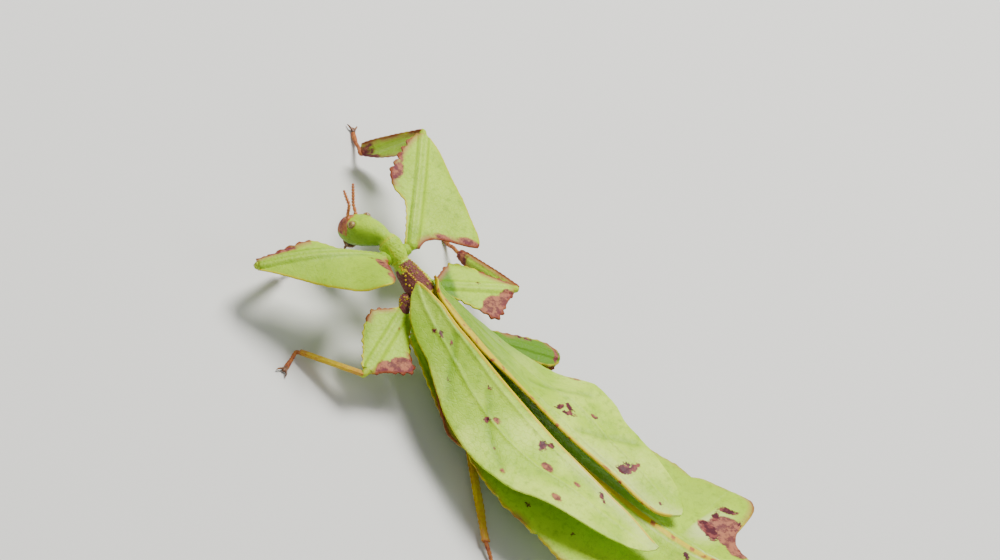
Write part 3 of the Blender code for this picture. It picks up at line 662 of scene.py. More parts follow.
def body_skin(shell):
    rows = steps(0, LEAF_FROM[0], BODY_ROWS[0]) + steps(LEAF_FROM[0], BODY_LENGTH, BODY_ROWS[1])[1:]
    across = np.linspace(-1, 1, BODY_COLUMNS)
    half = np.array([body_half(s) for s in rows])
    leafy = np.array([ease(*LEAF_FROM, s) for s in rows])
    s_at, v_at = np.meshgrid(rows, across, indexing="ij")
    x_at = half[:, None] * (np.sin(v_at * math.pi / 2) * (1 - leafy[:, None]) + v_at * leafy[:, None])
    rim = [(s, between(BODY_HALF, s)) for s in steps(LEAF_FROM[0], BODY_LENGTH, RIM_STEP)]
    margin = to_line(rim, s_at, np.abs(x_at)) + (1 - leafy[:, None]) * FAR_OFF
    ends = np.minimum(s_at - STRIPE[0], STRIPE[1] - s_at)
    stripe = np.minimum(STRIPE_HALF - np.abs(x_at - STRIPE_X), ends)
    blush = np.maximum(in_patches(BODY_BLUSH, s_at, x_at), stripe * 1.5)
    spot = in_patches(BODY_SPOTS, s_at, x_at)

    def place(i, j, side):
        s, x = rows[i], x_at[i, j]
        low = side < 0
        rusty = 0.45 + 0.5 * lump(s * 0.2, across[j]) + 0.5 * ease(50, 44, s) * (x > 0)
        rib_marks = ease(-0.05, 0.3, lump(s * 0.7, x * 0.5, 2)) * ease(76, 79, s)
        collar = 0.5 * (hump(s - 10.1, 0.3) + hump(s - 14.3, 0.28))
        shoulder = 0.45 * hump(s - 12.2, 2.6) * hump(abs(x) / half[i] - 0.8, 0.16)
        uneven = 1.2 * lump(s * 1.4, x * 1.4, 5)
        snout = ease(3.9, 2.2, s + uneven) * ease(-1.5, 0.2, x + uneven) * (1 - low)
        # Painted shade: the head dark green, painted darker still on its lower side and lighter on top; a
        # darker strip down the front of the abdomen's middle, between the wings; and the whole underside
        # darker (0.35 of deep below)
        shade = (0.6 + (0.3 if low else -0.38) * ease(1, 0.45, abs(x) / half[i])) * ease(10.2, 9.2, s)
        middle = 0.55 * leafy[i] * hump(x, 4) * ease(80, 70, s)
        bead = 0.8 * hump(stripe[i, j], 0.35) * ease(15, 16, s) * (1 - leafy[i]) * (1 - low)
        flank = min(s - 15.4, 23 - s, x * 2) if low else max(blush[i, j], 1.2 * snout - 1.1)
        amber = hump(s - 22.7, 0.9) * hump(x - STRIPE_X, 1.3) * (1 - low)
        # A pale patch near the rear of the abdomen
        pale_patch = 0.9 * ease(83.2, 84.2, s) * hump(s - 86, 3.4) * hump(x + 9, 6.5)
        # Painted highlights either side of the midrib
        rib_highlight = 0.7 * ease(74, 78, s) * hump(abs(x) - 1, 0.3)
        marks = {"margin": margin[i, j], "blush": flank, "spot": -FAR_OFF if low else spot[i, j],
                 "rust": rusty,
                 "gold": max(1.3 * leafy[i] * hump(x, 0.6), collar, shoulder, bead, amber),
                 "tan": max(0.95 * snout, 0.4 * amber, leafy[i] * hump(x, 0.7) * rib_marks),
                 "deep": max(shade, 0.35 * low, middle), "pale": max(pale_patch, rib_highlight) * (1 - low),
                 "grain": ease(26, 20, s) * (0.2 + 0.8 * ease(9, 15, s))}
        if leafy[i] > 0.5:
            marks["rib"] = min(abs(s + SEGMENT_BOW * abs(x) - at) for at in SEGMENT_LINES) + 0.15
        slope = math.radians(between(ABDOMEN_SLOPE, s)) * leafy[i]
        high = body_height(s, x, half[i], side, margin[i, j])
        wave = 0.35 * leafy[i] * lump(s * 0.12, x * 0.12) * min(1, abs(x) / 8)
        co = on_body(s, x * math.cos(slope), side * high + wave - abs(x) * math.sin(slope))
        if s < EYE_S + 3:
            for turn in SIDES.values():
                off = (co - on_body(EYE_S, turn * EYE_X, EYE_UP)).length
                brow = EYE_BROW[0] * hump(off - 1.15 * EYE_RADIUS, EYE_BROW[1])
                co += (co - on_body(EYE_S)).normalized() * brow
        return co, marks
    shell.sheet(len(rows), len(across), place)


def cerci(shell):
    for turn in SIDES.values():
        start = on_body(BODY_LENGTH - 0.6, turn * 0.8)
        end = on_body(BODY_LENGTH + 2, turn * 1.5, 0.1)
        path = [start.lerp(end, k / 8) for k in range(9)]
        shell.path(path, CERCUS_RADII, 12, lambda ring: {"gold": 0.3}, 0.5)


def thorax_grains(shell):
    """Tubercles along the stripe and the sides of the thorax, and scattered grains on its back."""
    draw = random.Random(7)
    rose, green, amber = [], [], []
    for s in steps(15.2, 22.4, 0.5):
        for x in (STRIPE_X - STRIPE_HALF - 0.1, STRIPE_X + STRIPE_HALF + 0.1):
            half = between(BODY_HALF, s)
            high = body_height(s, x, half, 1, FAR_OFF)
            amber.append((on_body(s, x + draw.uniform(-0.08, 0.08), high), draw.uniform(0.15, 0.26)))
    for turn in SIDES.values():
        for s in steps(15.4, 20.8, 0.6):
            up = draw.uniform(0.2, 1)
            far = between(BODY_HALF, s) * math.sqrt(1 - (up / between(RISE, s)) ** 2)
            amber.append((on_body(s, turn * far, up), draw.uniform(0.13, 0.24)))
    for made, count, span, sizes in ((rose, 70, (15, 21), (0.08, 0.17)),
                                     (green, 60, (10.2, 14.2), (0.05, 0.09))):
        for _ in range(count):
            s = draw.uniform(*span)
            half = between(BODY_HALF, s)
            middle, reach = (0, 0.8 * half) if made is green else (STRIPE_X, STRIPE_HALF)
            x = middle + draw.uniform(-1, 1) * reach
            made.append((on_body(s, x, body_height(s, x, half, 1, FAR_OFF)), draw.uniform(*sizes)))
    shell.grains(rose, ROSY)
    shell.grains(amber, AMBER)
    shell.grains(green, {"deep": 0.4})


# Legs
def leg_frame(ahead):
    """Directions across a leg piece: level out to its rear lobe, and up from it."""
    out = ahead.cross(UP).normalized()
    if out.y < 0:
        out.negate()
    up = ahead.cross(out)
    if up.z < 0:
        up.negate()
    return out, up


def turned(out, up, angle):
    """The two directions turned so that out leans toward up by angle degrees."""
    turn = math.radians(angle)
    return out * math.cos(turn) + up * math.sin(turn), up * math.cos(turn) - out * math.sin(turn)


def reach_across(fraction, half, core, break_at):
    """Distance from the midline: the core first, then evenly out to the edge."""
    core = min(core, half * 0.75)
    k = abs(fraction)
    if k <= break_at:
        far = core * k / break_at
    else:
        far = core + (half - core) * (k - break_at) / (1 - break_at)
    return math.copysign(far, fraction)


def outline_rows(outer, inner, size):
    """Stations along a lobed piece, set close where either edge turns outward."""
    stations = steps(outer[0][0], outer[-1][0], 0.05)
    rows, gone = [stations[0]], 0
    for a, b in zip(stations, stations[1:]):
        gone += max(math.hypot(b - a, between(edge, b) - between(edge, a)) for edge in (outer, inner))
        if gone >= size:
            rows.append(b)
            gone = 0
    if rows[-1] < stations[-1]:
        rows.append(stations[-1])
    return rows


def leaf_limb(shell, start, end, out, up, blade, radius, size, columns, curl, lead, teeth, marks_at,
              blushes=(), spots=()):
    """A leg piece with a keeled shaft and a thin toothed lobe on each side."""
    outer, inner, bow, tilt = blade
    ahead, length, full = (end - start).normalized(), (end - start).length, outer[-1][0]
    rows = outline_rows(outer, inner, size)
    edges = {1: np.array([(a, between(outer, a)) for a in rows]),
             -1: np.array([(a, -between(inner, a)) for a in rows])}
    arcs, normals = {}, {}
    for side, line in edges.items():
        arcs[side] = np.concatenate(([0], np.cumsum(np.hypot(*np.diff(line, axis=0).T))))
        run = np.gradient(line, axis=0)
        turn = np.stack((-run[:, 1], run[:, 0]), axis=1) * side
        normals[side] = turn / np.linalg.norm(turn, axis=1)[:, None]
    across = np.linspace(-1, 1, columns)
    a_at, far_at = np.zeros((len(rows), columns)), np.zeros((len(rows), columns))
    for i, a in enumerate(rows):
        for j, v in enumerate(across):
            side = 1 if v >= 0 else -1
            far = reach_across(v, abs(edges[side][i][1]), radius * 1.3, SHAFT_SHARE)
            da, df = normals[side][i] * teeth(side, arcs[side][i], a) * abs(v) ** 5
            a_at[i, j], far_at[i, j] = a + da, far + df
    margin = np.where(across >= 0, to_line(edges[1], a_at, far_at), to_line(edges[-1], a_at, far_at))
    blush, spot = in_patches(blushes, a_at, far_at), in_patches(spots, a_at, far_at)

    def place(i, j, side):
        a, far, v = a_at[i, j], far_at[i, j], across[j]
        marks = {"blush": blush[i, j], "spot": spot[i, j], "margin": margin[i, j]}
        marks.update(marks_at(a, far))
        ring = abs(v) / SHAFT_SHARE
        shaft = math.sqrt(max(0, 1 - ring ** 1.5)) if ring < 1 else 0
        if side > 0:
            keel = hump(abs(far) - KEEL_AT, 0.17) * (0.75 + 0.25 * math.sin(a * 6))
            shaft = max(0.55 * shaft, 0.35 * shaft + 0.4 * keel)
        thick = BLADE_THICK / 2 * thinned(margin[i, j], 1.1) + (radius - BLADE_THICK / 2) * shaft
        rise = bow * math.sin(math.pi * min(1, max(0, a / full)))
        wave = curl * math.sin(a * 0.55 + v) * v * v
        away, above = turned(out, up, between(tilt, a))
        middle = start + ahead * (a / full * length - (0 if i else lead)) + up * rise
        return middle + away * far + above * (wave + side * thick), marks
    shell.sheet(len(rows), columns, place)


def tibia_teeth(side, arc, a):
    """Even pointed teeth along an edge."""
    return 0.12 * (abs(math.sin(math.pi * arc / 1.1)) ** 0.8 - 0.4)


def fore_teeth(depth):
    """A smooth outer lobe and five rounded teeth on the inner one."""
    def teeth(side, arc, a):
        if side > 0:
            return 0.1 * lump(arc * 0.8, 1)
        if TOOTH_FIRST < a < TOOTH_LAST:
            wave = abs(math.sin(math.pi * (a - TOOTH_FIRST) / TOOTH_PITCH))
            fade = ease(TOOTH_FIRST, TOOTH_FIRST + 0.8, a) * ease(TOOTH_LAST, TOOTH_LAST - 1, a)
            return depth * fade * (wave - 0.72 + 0.5 * lump(arc * 1.3, 4))
        return 0.08 * math.sin(arc * 4)
    return teeth


def middle_teeth(side, arc, a):
    return 0.36 * lump(arc * 1.2, 2, side) + 0.11 * math.sin(arc * 3.6)


def hind_teeth(side, arc, a):
    return 0.1 * math.sin(arc * 3)


TEETH = {"fore_left": fore_teeth(0.45), "fore_right": fore_teeth(0.85), "middle": middle_teeth,
         "hind": hind_teeth}
# Patches on the femora, along the shaft and out from it
FEMUR_BLUSH = {
    "fore_left": ((1.5, 4.6, 1.2, 3, 10), (1.8, 9.6, 1, 1.6, 30), (20.5, -1.9, 3.6, 0.6, 0)),
    "fore_right": ((4.5, 11, 1, 2.6, 0), (3.2, 6.6, 0.9, 2.8, 12), (14.4, -4.7, 2.2, 1.3, 20),
        (19, -4.3, 4.2, 0.5, -8)),
    "middle_left": ((12, 5.4, 3.4, 3, -20), (10.2, 6.8, 2, 1.4, 20), (14.2, 2.8, 2.4, 2, 0)),
    "middle_right": ((9.2, 6.4, 2.2, 2.4, 20), (11.4, 4.6, 3.4, 2.8, -30), (14.6, 2, 2, 1.5, -20)),
    "hind_right": ((20.6, 0, 0.5, 2, 0),),
}
FEMUR_SPOTS = {
    "fore_left": ((1.4, 3.6, 0.7, 0.35, 20), (3, 1.8, 0.5, 0.3, 0)),
    "middle_left": ((4.5, 0.8, 0.25, 0.2, 0), (6.4, 4.2, 0.3, 0.22, 0)),
    "middle_right": ((9, -0.8, 0.35, 0.28, 0), (7.6, 7.2, 0.9, 0.5, 30)),
    "hind_right": ((14.5, -2, 1.6, 0.3, 0), (9, 1.8, 1.2, 0.4, 0)),
}
# Where the margins of the femora are rusty: along the shaft from, to, and the side
FEMUR_RUST = {
    "fore_left": ((-1, 3.4, 1), (14, 26, -1)),
    "fore_right": ((-1, 5, 1), (11, 26, -1)),
    "middle_left": ((0.5, 7, -1), (7.5, 17, 1)),
    "middle_right": ((-1, 4, -1), (10, 17, -1), (9, 17, 1)),
    "hind_left": ((6, 22, -1),),
    "hind_right": ((9, 22, -1),),
}
# Darker green on a coxa, and at the base of a femur, or all along a hind or a curled one; on the coxae, the
# femur bases and the hind femora it is painted shade
COXA_SHADE = {"middle_right": 0.85, "fore_right": 0.2}
FEMUR_SHADE = {"hind_right": 1.3, "hind_left": 0.4, "middle_right": 0.95, "fore_left": 0.28}


def thorax_half(y):
    near = min(steps(9, 27, 0.25), key=lambda s: abs(on_body(s).y - y))
    return between(BODY_HALF, near)


def coxa_grains(shell, path, radii):
    """Rosy and amber grains over a plum coxa."""
    draw = random.Random(3)
    rosy, amber = [], []
    for made, count in ((rosy, 46), (amber, 26)):
        for _ in range(count):
            k = draw.randrange(4, 15)
            ahead = (path[k + 1] - path[k]).normalized()
            side = ahead.cross(UP).normalized()
            angle = draw.uniform(-0.2, math.pi + 0.2)
            away = side * math.cos(angle) + side.cross(ahead) * math.sin(angle)
            made.append((path[k] + away * radii[k], draw.uniform(0.09, 0.18)))
    shell.grains(rosy, ROSY)
    shell.grains(amber, AMBER)


def coxa(shell, name, root, hip, thigh):
    """Sunk into the thorax, waisted, and run into the base of the femur."""
    inner = Vector((root.x * 0.55, root.y, root.z))
    bend = (hip - root) * 0.45
    path = rounded([inner, root.lerp(inner, 0.5), root, root + bend * 0.5, root + bend, root.lerp(hip, 0.75),
                    hip, hip + thigh * 0.9], 22)
    radii = girths(COXA_GIRTH, len(path))
    # Painted shade: the coxae darker green where they sit under the body
    marks = {"grain": 0.4, "deep": COXA_SHADE.get(name, 0.5)}
    if name == "middle_left":
        marks = {"grain": 1, "blush": 0.5}
    shell.path(path, radii, 20, lambda ring: dict(marks, tan=0.5 * hump(ring - 14, 1)))
    if name == "middle_left":
        coxa_grains(shell, path, radii)


def femur(shell, name, turn, hip, knee, out, up):
    kind = name.split("_")[0]
    radius, lines, size, columns, curl, rusted = KINDS[kind]
    shape = name if kind == "fore" else kind
    full = BLADES[shape][0][-1][0]
    even = kind == "hind" or name == "fore_left"

    def marks_at(a, far):
        rusty = sum(ease(low - 0.5, low + 0.5, a) * ease(high + 0.5, high - 0.5, a)
                    for low, high, edge in FEMUR_RUST[name] if edge * far > 0)
        # Painted shade: darker lines in the grooves along the shaft, and darker green at the base of the
        # femur or all along it
        groove_shade = 0.9 * hump(abs(far) - 1, 0.22) + 0.5 * hump(far, 0.2)
        return {"rust": rusty * (rusted + 0.5 * lump(a * 0.4, far * 0.2, turn)),
                "rib": abs(abs(far) - KEEL_AT) if a > 2 else FAR_OFF,
                "fold": groove_shade * ease(1, 3, a) * lines,
                "tan": 0.45 * ease(full - 0.8, full + 0.2, a), "grain": 0.25 * hump(far, 1),
                "deep": FEMUR_SHADE.get(name, 0.3) * (1 if even else ease(4.6, 2.6, a))}
    leaf_limb(shell, hip, knee, out, up, BLADES[shape], radius, size, columns, curl, FEMUR_SUNK,
              TEETH[shape], marks_at, FEMUR_BLUSH.get(name, ()), FEMUR_SPOTS.get(name, ()))


def tibia(shell, name, turn, knee, ankle, thigh, out, radius, folded):
    """Starts in the knee, or under it where the leg is folded; returns the way that it points."""
    shin = (ankle - knee).normalized()
    if folded:
        below = (shin - thigh * thigh.dot(shin)).normalized()
        start = knee - thigh * KNEE_BACK + below * (radius + TIBIA_RADIUS + KNEE_GAP)
    else:
        start = knee + thigh * (TIBIA_RADIUS + KNEE_GAP) + shin * GAP
    shin, long = (ankle - start).normalized(), (ankle - start).length
    lobe, low, roll = TIBIAE[name]
    across = (out - shin * out.dot(shin)).normalized()
    across, rise = turned(across, shin.cross(across), roll)
    outer = ((0, 0.8), (long * 0.3, lobe), (long * 0.6, lobe * 1.1), (long * 0.85, lobe * 0.75),
             (long, 0.8))
    inner = ((0, 0.8), (long * 0.4, 0.4 + low * 0.6), (long * 0.85, low), (long, 0.8))
    slim = name in ("middle_left", "hind_left")

    def marks_at(a, far):
        uneven = lump(a * 0.5, far, turn)
        ends = 0.38 + 0.2 * abs(2 * a / long - 1) if slim else 0
        return {"rust": 0.35 if slim else 0.75 + 0.4 * uneven, "rib": abs(abs(far) - 0.4), "grain": 0.3,
                "gold": 0.7 if slim else 0,
                "tan": max(0.4 * ease(1, 0, a), 0.7 * ease(long - 1.2, long, a), ends),
                "blush": -0.4 + 0.5 * uneven + (0.1 if slim else 0.85) * hump(a - long + 0.6, 2.4)}
    leaf_limb(shell, start, ankle, across, rise, (outer, inner, 0, LEVEL), TIBIA_RADIUS, TIBIA_MESH,
              TIBIA_COLUMNS, TIBIA_CURL, TIBIA_SUNK, tibia_teeth, marks_at)
    bent = [knee - thigh * 0.7, knee - thigh * 0.1, knee.lerp(start, 0.5), start, start + shin * 0.8]
    radii = girths(KNEE_GIRTH, 12, radius)
    shell.path(rounded(bent, 12), radii, 16, lambda ring: {"tan": 0.38, "grain": 0.5})
    return shin


def tarsus(shell, ankle, toe, shin):
    """Four short joints and a long one that widens to its pad; returns the way that it points."""
    foot = (toe - ankle).normalized()
    first = ankle + foot * GAP + shin * (GAP * 0.8 + TARSUS_RADIUS * shin.cross(foot).length)
    points = [first.lerp(toe, k) for k in (0, 0.3, 0.55, 0.78, 0.92, 1)]
    for k, keep in ((2, 0.3), (3, 0.12), (4, 0)):
        points[k].z = min(points[k].z, PAD_Z + (points[0].z - PAD_Z) * keep)
    path = rounded([ankle - shin * 0.4] + points, 44)
    radii = girths(TARSUS_GIRTH, len(path), TARSUS_RADIUS, TARSUS_JOINTS, 0.24, 0.018)
    shell.path(path, radii, 14, lambda ring: {"tan": 1, "grain": 0.5, "blush": -0.02}, 1, 0)
    return foot


def leg(shell, name, joint):
    """Coxa, femur, tibia and tarsus; returns the toe and the way that the foot points."""
    kind, word = name.split("_")
    turn = SIDES[word]
    (root_y, root_z), *places, folded = joint
    hip, knee, ankle, toe = (Vector(place) for place in places)
    root = Vector((turn * (thorax_half(root_y) + GAP), root_y, root_z))
    thigh = (knee - hip).normalized()
    out, up = leg_frame(thigh)
    coxa(shell, name, root, hip, thigh)
    femur(shell, name, turn, hip, knee, out, up)
    shin = tibia(shell, name, turn, knee, ankle, thigh, out, KINDS[kind][0], folded)
    return toe, tarsus(shell, ankle, toe, shin)


# Points of a claw hook and of the pad: along the foot, out to the side and up
HOOK = ((-0.75, 0.12, 0), (0.1, 0.38, 0), (0.55, 0.72, 0.04), (1, 0.95, -0.08), (1.35, 1, -CLAW_DROP))
HOOK_GIRTH = ((0, 0.8), (0.3, 0.85), (0.7, 0.55), (1, 0.08))
PAD = ((-0.6, 0, 0), (0.1, 0, -0.1), (0.5, 0, -0.18))
PAD_GIRTH = ((0, 0.2), (0.5, 0.34), (0.85, 0.34), (1, 0.1))


def claws(name, toe, foot, material):
    """Two curved hooks with the pad between them."""
    shell = Shell()
    flat = Vector((foot.x, foot.y, 0)).normalized()
    cross = UP.cross(flat)
    root = Vector((toe.x, toe.y, CLAW_Z)) + flat * (GAP + CLAW_RADIUS)

    def curve(shape, side, count):
        return rounded([root + flat * along + cross * side * away + UP * high
                        for along, away, high in shape], count)
    for side in (1, -1):
        shell.path(curve(HOOK, side, 16), girths(HOOK_GIRTH, 16, CLAW_RADIUS), 10)
    shell.path(curve(PAD, 0, 10), girths(PAD_GIRTH, 10), 12, None, 0.8, 0.02)
    finish(shell.whole, "claws_" + name + "_hooks", "brown", material, "claws_" + name)


# Fore wings: level beside the inner margin for WING_LEVEL, then falling away
def wing_plane(word, s, far):
    """Place across the body and height of the wing at station s, far from its inner margin."""
    level = min(far, between(WING_LEVEL[word], s))
    slope = math.radians(between(WING_SLOPE[word], s))
    x = between(WING_INNER[word], s) + level + (far - level) * math.cos(slope)
    return SIDES[word] * x, between(WING_RISE, s) - (far - level) * math.sin(slope)


WING_MAIN = (0.13, 0.5)
WING_COLUMNS = 57
BAND_HALF = 0.5
# Where the outer margin is marked, shade of the base, rusty share of the gold band and strength of the
# painted highlight beside it
WING_LOOK = {"left": (0, 52, 0.45, 0.2, 1.2), "right": (44, 55, 0.7, 0.8, 0)}
BRANCH_STARTS = (25, 31.5, 38.5, 45.5, 52, 58.5, 65, 71)
# Spots on the wings, in station and distance from the inner margin
WING_SPOTS = {
    "left": ((28.2, 4.2, 0.45, 0.38, 0), (29.4, 3.6, 0.6, 0.42, 30), (31.8, 3, 0.55, 0.36, 20),
        (36.6, 8, 0.4, 0.34, 0), (41.8, 3, 0.6, 0.4, 0), (46.2, 7.6, 0.8, 0.55, 40),
        (51, 10.8, 0.36, 0.3, 0), (56.5, 3.4, 1.2, 0.8, 60), (57.5, 1.9, 0.8, 0.65, 10),
        (70.6, 2, 0.9, 0.5, 30), (71.8, 2.6, 0.4, 0.3, 0)),
    "right": ((52.5, 4.6, 1.5, 0.6, 75), (53.5, 6.1, 1.3, 0.6, -10), (54.6, 4.8, 1.4, 0.55, 40),
        (57.8, 8.8, 0.8, 0.5, 0), (69.3, 2.8, 1.7, 1.1, 50), (70.3, 4.9, 1.5, 0.7, 80),
        (68.8, 4.3, 0.9, 0.5, 0), (78.2, 2.6, 0.35, 0.3, 0)),
}
WING_BLUSH = {
    "left": ((60.2, 6.2, 1.4, 1, 0), (65.8, 10.4, 1.1, 0.8, 0), (66.2, 4.4, 0.8, 0.6, 0),
        (55.4, 13.4, 0.6, 0.5, 0), (47.4, 6.4, 0.8, 0.6, 0)),
    "right": ((36, 11, 0.5, 0.4, 0), (49.5, 15.6, 1, 0.5, 0)),
}
WING_FOLDS = {
    "left": (((31, 1.6), (33.8, 4.4), (36.2, 7.4), (39, 10.2)),
        ((42.6, 3.8), (46.2, 7.6), (49, 9.6), (51.8, 11.4), (55, 13.2))),
    "right": (((45, 5), (50, 9), (54, 12.5)), ((58, 3), (63, 6.5), (67, 9.5))),
}


def wing_veins(word):
    """Strength and line of each vein, in station and distance from the inner margin."""
    first, last = WING_SPAN[word]
    edge = [(s, between(WING_WIDTH[word], s)) for s in steps(first, last, 1)]
    veins = [(1, [(s, q * width) for s, width in edge]) for q in WING_MAIN]
    for start in BRANCH_STARTS:
        branch = []
        for t in steps(0, 1, 0.1):
            s = start + 7 * t ** 0.8
            branch.append((s, between(WING_WIDTH[word], min(s, last)) * (0.13 + 0.87 * t)))
        veins.append((0.3, branch))
    return veins


def wing(word, material):
    shell = Shell()
    first, last = WING_SPAN[word]
    edged_from, edged_to, shaded, rusted, shine = WING_LOOK[word]
    stops = (first, first + WING_ENDS, last - WING_ENDS, last)
    rows = [first]
    for low, high, size in zip(stops, stops[1:], (WING_ROWS[0], WING_ROWS[1], WING_ROWS[0])):
        rows += steps(low, high, size)[1:]
    rim = [(s, between(WING_WIDTH[word], s)) for s in rows]
    q_at, far_at = np.linspace(0, 1, WING_COLUMNS), np.zeros((len(rows), WING_COLUMNS))
    for i, s in enumerate(rows):
        tooth = 0.12 * lump(s * 0.9, SIDES[word])
        far_at[i] = between(WING_WIDTH[word], s) * q_at + tooth * q_at ** 6
    s_at = np.repeat(np.array(rows)[:, None], WING_COLUMNS, axis=1)
    margin = np.minimum(np.minimum(to_line(rim, s_at, far_at), far_at), last - s_at + 0.2)
    ridge, near = np.zeros_like(s_at), np.full_like(s_at, FAR_OFF)
    fade = np.minimum(1, (last - s_at) / VEIN_FADE)
    for strength, line in wing_veins(word):
        off = to_line(line, s_at, far_at)
        ridge = np.maximum(ridge, 0.75 * VEIN_HEIGHT * strength * fade * np.exp(-(off / VEIN_HALF) ** 2))
        near = np.minimum(near, off + 0.12 / strength - 0.12)
    fold = np.full_like(s_at, FAR_OFF)
    for line in WING_FOLDS[word]:
        fold = np.minimum(fold, to_line(line, s_at, far_at))
    spot, blush = in_patches(WING_SPOTS[word], s_at, far_at), in_patches(WING_BLUSH[word], s_at, far_at)

    def place(i, j, side):
        s, far = rows[i], far_at[i, j]
        width = max(between(WING_LEVEL[word], s) * 0.42, BAND_HALF)
        edged = edged_from < s < edged_to and q_at[j] > 0.6
        gold = ease(width + 0.35, width - 0.15, far) * ease(last, last - 2, s)
        # Painted highlights: pale towards the rear beside the inner margin, and a lit line beside the gold
        # band
        rear_highlight = 0.42 * ease(52, 66, s) * ease(6, 1, far)
        lit = shine * ease(60, 64, s) * ease(77, 74, s) * hump(far - 0.5, 0.35)
        dashes = ease(0.1, 0.5, lump(s * 0.9, far * 1.6, 4 + SIDES[word]))
        # fold darkens the wing along its folds as painted shade in their creases
        marks = {"margin": margin[i, j] + 0.2 if edged else FAR_OFF, "rib": near[i, j], "gold": gold,
                 "spot": spot[i, j], "blush": blush[i, j], "fold": hump(fold[i, j], 0.8),
                 "tan": gold * dashes * rusted, "deep": shaded * ease(60, 28, s),
                 "pale": max(rear_highlight, lit),
                 "rust": 0.1 + 0.5 * lump(s * 0.3, q_at[j] * 3, SIDES[word])}
        x, high = wing_plane(word, s, far)
        high += side * WING_THICK / 2 * thinned(margin[i, j], 0.9, 0.25)
        high += 0.16 * lump(s * 0.16, far * 0.2, SIDES[word]) * min(1, far / 4)
        high -= 0.16 * hump(fold[i, j], 0.7) * min(1, far / 2)
        if side > 0:
            high += ridge[i, j] + 0.2 * hump(far - 0.25, 0.3)
        return on_body(s, x, high), marks
    shell.sheet(len(rows), WING_COLUMNS, place)
    finish(shell.whole, "tegmen_" + word + "_leaf", "wing_green", material, "tegmen_" + word)


# Head pieces
def eye(word, material):
    bm = bmesh.new()
    bmesh.ops.create_uvsphere(bm, u_segments=40, v_segments=28, radius=EYE_RADIUS)
    bmesh.ops.scale(bm, verts=bm.verts[:], vec=EYE_SHAPE)
    bmesh.ops.translate(bm, verts=bm.verts[:], vec=on_body(EYE_S, SIDES[word] * EYE_X, EYE_UP))
    finish(bm, "eye_" + word + "_ball", "eye_olive", material, "eye_" + word)


def feeler(word, material):
    """A short beaded feeler: a stout base joint, then beads to the tip."""
    shell = Shell()
    side = SIDES[word]
    shaft, whip = (Vector(joint) for joint in FEELER_JOINTS[word])
    high = straight(RISE, FEELER_S) * math.sqrt(1 - (FEELER_X / straight(BODY_HALF, FEELER_S)) ** 2)
    sunk = on_body(FEELER_S, side * FEELER_X, high - FEELER_SUNK)
    base = on_body(FEELER_S, side * FEELER_X, high + GAP * 1.6)
    elbow = base + shaft
    tip = elbow + whip
    path = rounded([sunk, base, base.lerp(elbow, 0.6), elbow, elbow.lerp(tip, 0.5), tip], FEELER_RINGS)
    radii = girths(FEELER_GIRTH, FEELER_RINGS, FEELER_FLARE * FEELER_RADIUS, FEELER_BEADS, 0.5, 0.014)
    shell.path(path, radii, 14)
    finish(shell.whole, "feeler_" + word, "brown", material, "antenna_" + word)


def mouth(material):
    """Upper lip, jaws and two pairs of palps under the head."""
    shell = Shell()

    def place(ring, angle):
        s, half, top, low = MOUTH[ring]
        return on_body(s, half * math.cos(angle), (top + low) / 2 + (top - low) / 2 * math.sin(angle)), {}
    shell.tube(len(MOUTH), 24, place)
    for side in SIDES.values():
        for offset, long in PALPS:
            path = rounded([on_body(1.4 + offset * 0.6, side * offset, -2.5),
                            on_body(0.9 + offset * 0.4, side * (offset + 0.25), -2.6 - long * 0.33),
                            on_body(0.5 + offset * 0.5, side * (offset - 0.1), -2.5 - long * 0.48)], 24)
            shell.path(path, girths(PALP_GIRTH, 24, 0.2, PALP_JOINTS, 0.3, 0.04), 10)
    finish(shell.whole, "mouthparts_palps", "brown", material, "mouthparts")


# Floor, light and camera: sizes and places in metres
FLOOR_HALF = 3


def floor():
    bm = bmesh.new()
    bmesh.ops.create_grid(bm, x_segments=1, y_segments=1, size=FLOOR_HALF)
    piece = add("floor", as_mesh("floor", bm))
    paint = Paint("floor_pale")
    soft = paint.noise(60, 2)
    colour = paint.blend(soft, (0.72, 0.72, 0.70), (0.76, 0.76, 0.74))
    piece.data.materials.append(paint.coat(colour, 0.8 + soft * 0.1, paint.bump(soft, 0.02, 0.1)))


def towards(azimuth, elevation):
    """Direction from the middle of the floor to a place round it, in degrees."""
    az, el = math.radians(azimuth), math.radians(elevation)
    return Vector((math.cos(el) * math.cos(az), math.cos(el) * math.sin(az), math.sin(el)))


# Lights: size and power, azimuth, elevation and distance, colour
LIGHTS = {
    "key": (0.4, 15, -150, 62, 0.9, (1, 0.98, 0.94)),
    "fill": (0.8, 1.7, 20, 40, 1.1, (0.95, 0.98, 1)),
    "rim": (0.5, 2, 100, 40, 1, (1, 1, 0.97)),
}
SKY = {"Color": (0.9, 0.93, 0.95, 1), "Strength": 0.22}


def studio():
    for name, (size, power, azimuth, elevation, distance, colour) in LIGHTS.items():
        lamp = bpy.data.lights.new(name, "AREA")
        lamp.size = size
        lamp.energy = power
        lamp.color = colour
        piece = add(name, lamp)
        away = towards(azimuth, elevation)
        piece.location = away * distance
        piece.rotation_euler = away.to_track_quat("Z", "Y").to_euler()
    world = bpy.data.worlds.new("studio")
    world.use_nodes = True
    for socket, value in SKY.items():
        world.node_tree.nodes["Background"].inputs[socket].default_value = value
    bpy.context.scene.world = world


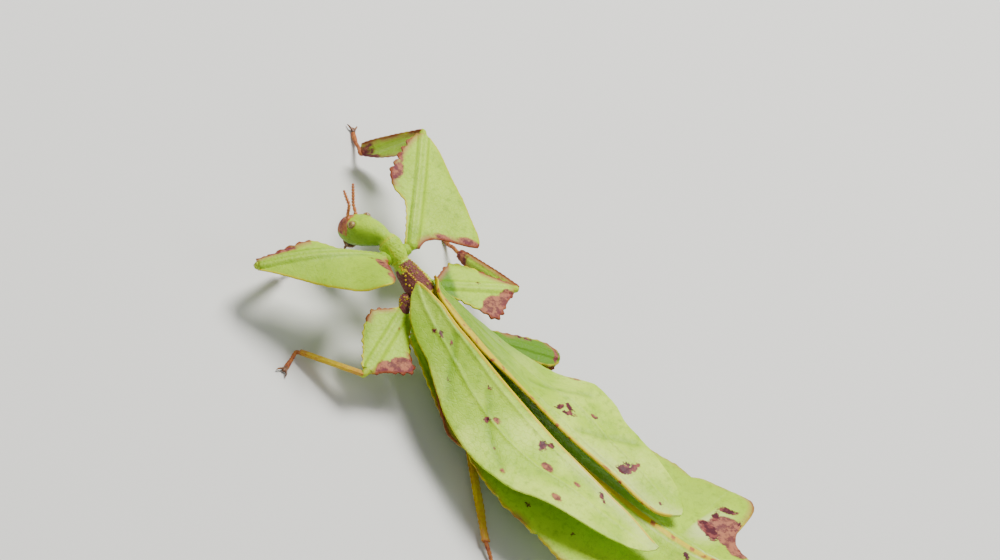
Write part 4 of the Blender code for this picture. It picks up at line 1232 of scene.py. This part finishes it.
CAMERA_PLACE = (0.37431, 0.07120, 0.36364)
CAMERA_AZIMUTH = 12.594
CAMERA_ELEVATION = 41.376
CAMERA_ROLL = 37.699
CAMERA_LENS = 106.786


def camera():
    lens = bpy.data.cameras.new("camera")
    lens.lens = CAMERA_LENS
    lens.sensor_width = 36
    piece = add("camera", lens)
    back, roll = towards(CAMERA_AZIMUTH, CAMERA_ELEVATION), math.radians(CAMERA_ROLL)
    level = UP.cross(back).normalized()
    right = level * math.cos(roll) + back.cross(level) * math.sin(roll)
    turn = Matrix((right, back.cross(right), back)).transposed().to_4x4()
    piece.matrix_world = Matrix.Translation(CAMERA_PLACE) @ turn
    bpy.context.scene.camera = piece


skin_paint = leaf_paint("leaf_skin", LIME, (0.45, 0.69, 0.02), 0.9)
wing_paint = leaf_paint("leaf_wing", (0.41, 0.66, 0.01), (0.63, 0.86, 0.08), 1.1)
feeler_paint = horn_paint("feeler_amber", (0.66, 0.24, 0.08), (0.38, 0.09, 0.025), 0.25, 0.4)
claw_paint = horn_paint("claw_brown", (0.28, 0.12, 0.05), (0.10, 0.04, 0.02), 0.3, 0.3)
eye_material = eye_paint()

skin = Shell()
body_skin(skin)
cerci(skin)
thorax_grains(skin)
feet = {name: leg(skin, name, joint) for name, joint in LEGS.items()}
flesh = ["head", "prothorax", "mesothorax", "metathorax", "abdomen_front", "abdomen_middle", "abdomen_rear",
         "abdomen_tip", "cercus_left", "cercus_right"]
for leg_name in LEGS:
    flesh += [part + "_" + leg_name for part in ("coxa", "femur", "tibia", "tarsus")]
finish(skin.whole, "skin", "skin_green", skin_paint, *flesh)
for leg_name, (leg_toe, leg_foot) in feet.items():
    claws(leg_name, leg_toe, leg_foot, claw_paint)
for side_name in SIDES:
    wing(side_name, wing_paint)
    eye(side_name, eye_material)
    feeler(side_name, feeler_paint)
mouth(horn_paint("mouth_brown", (0.34, 0.17, 0.06), (0.16, 0.07, 0.03), 0.3, 0.45))
floor()
studio()
camera()
bpy.context.view_layer.update()
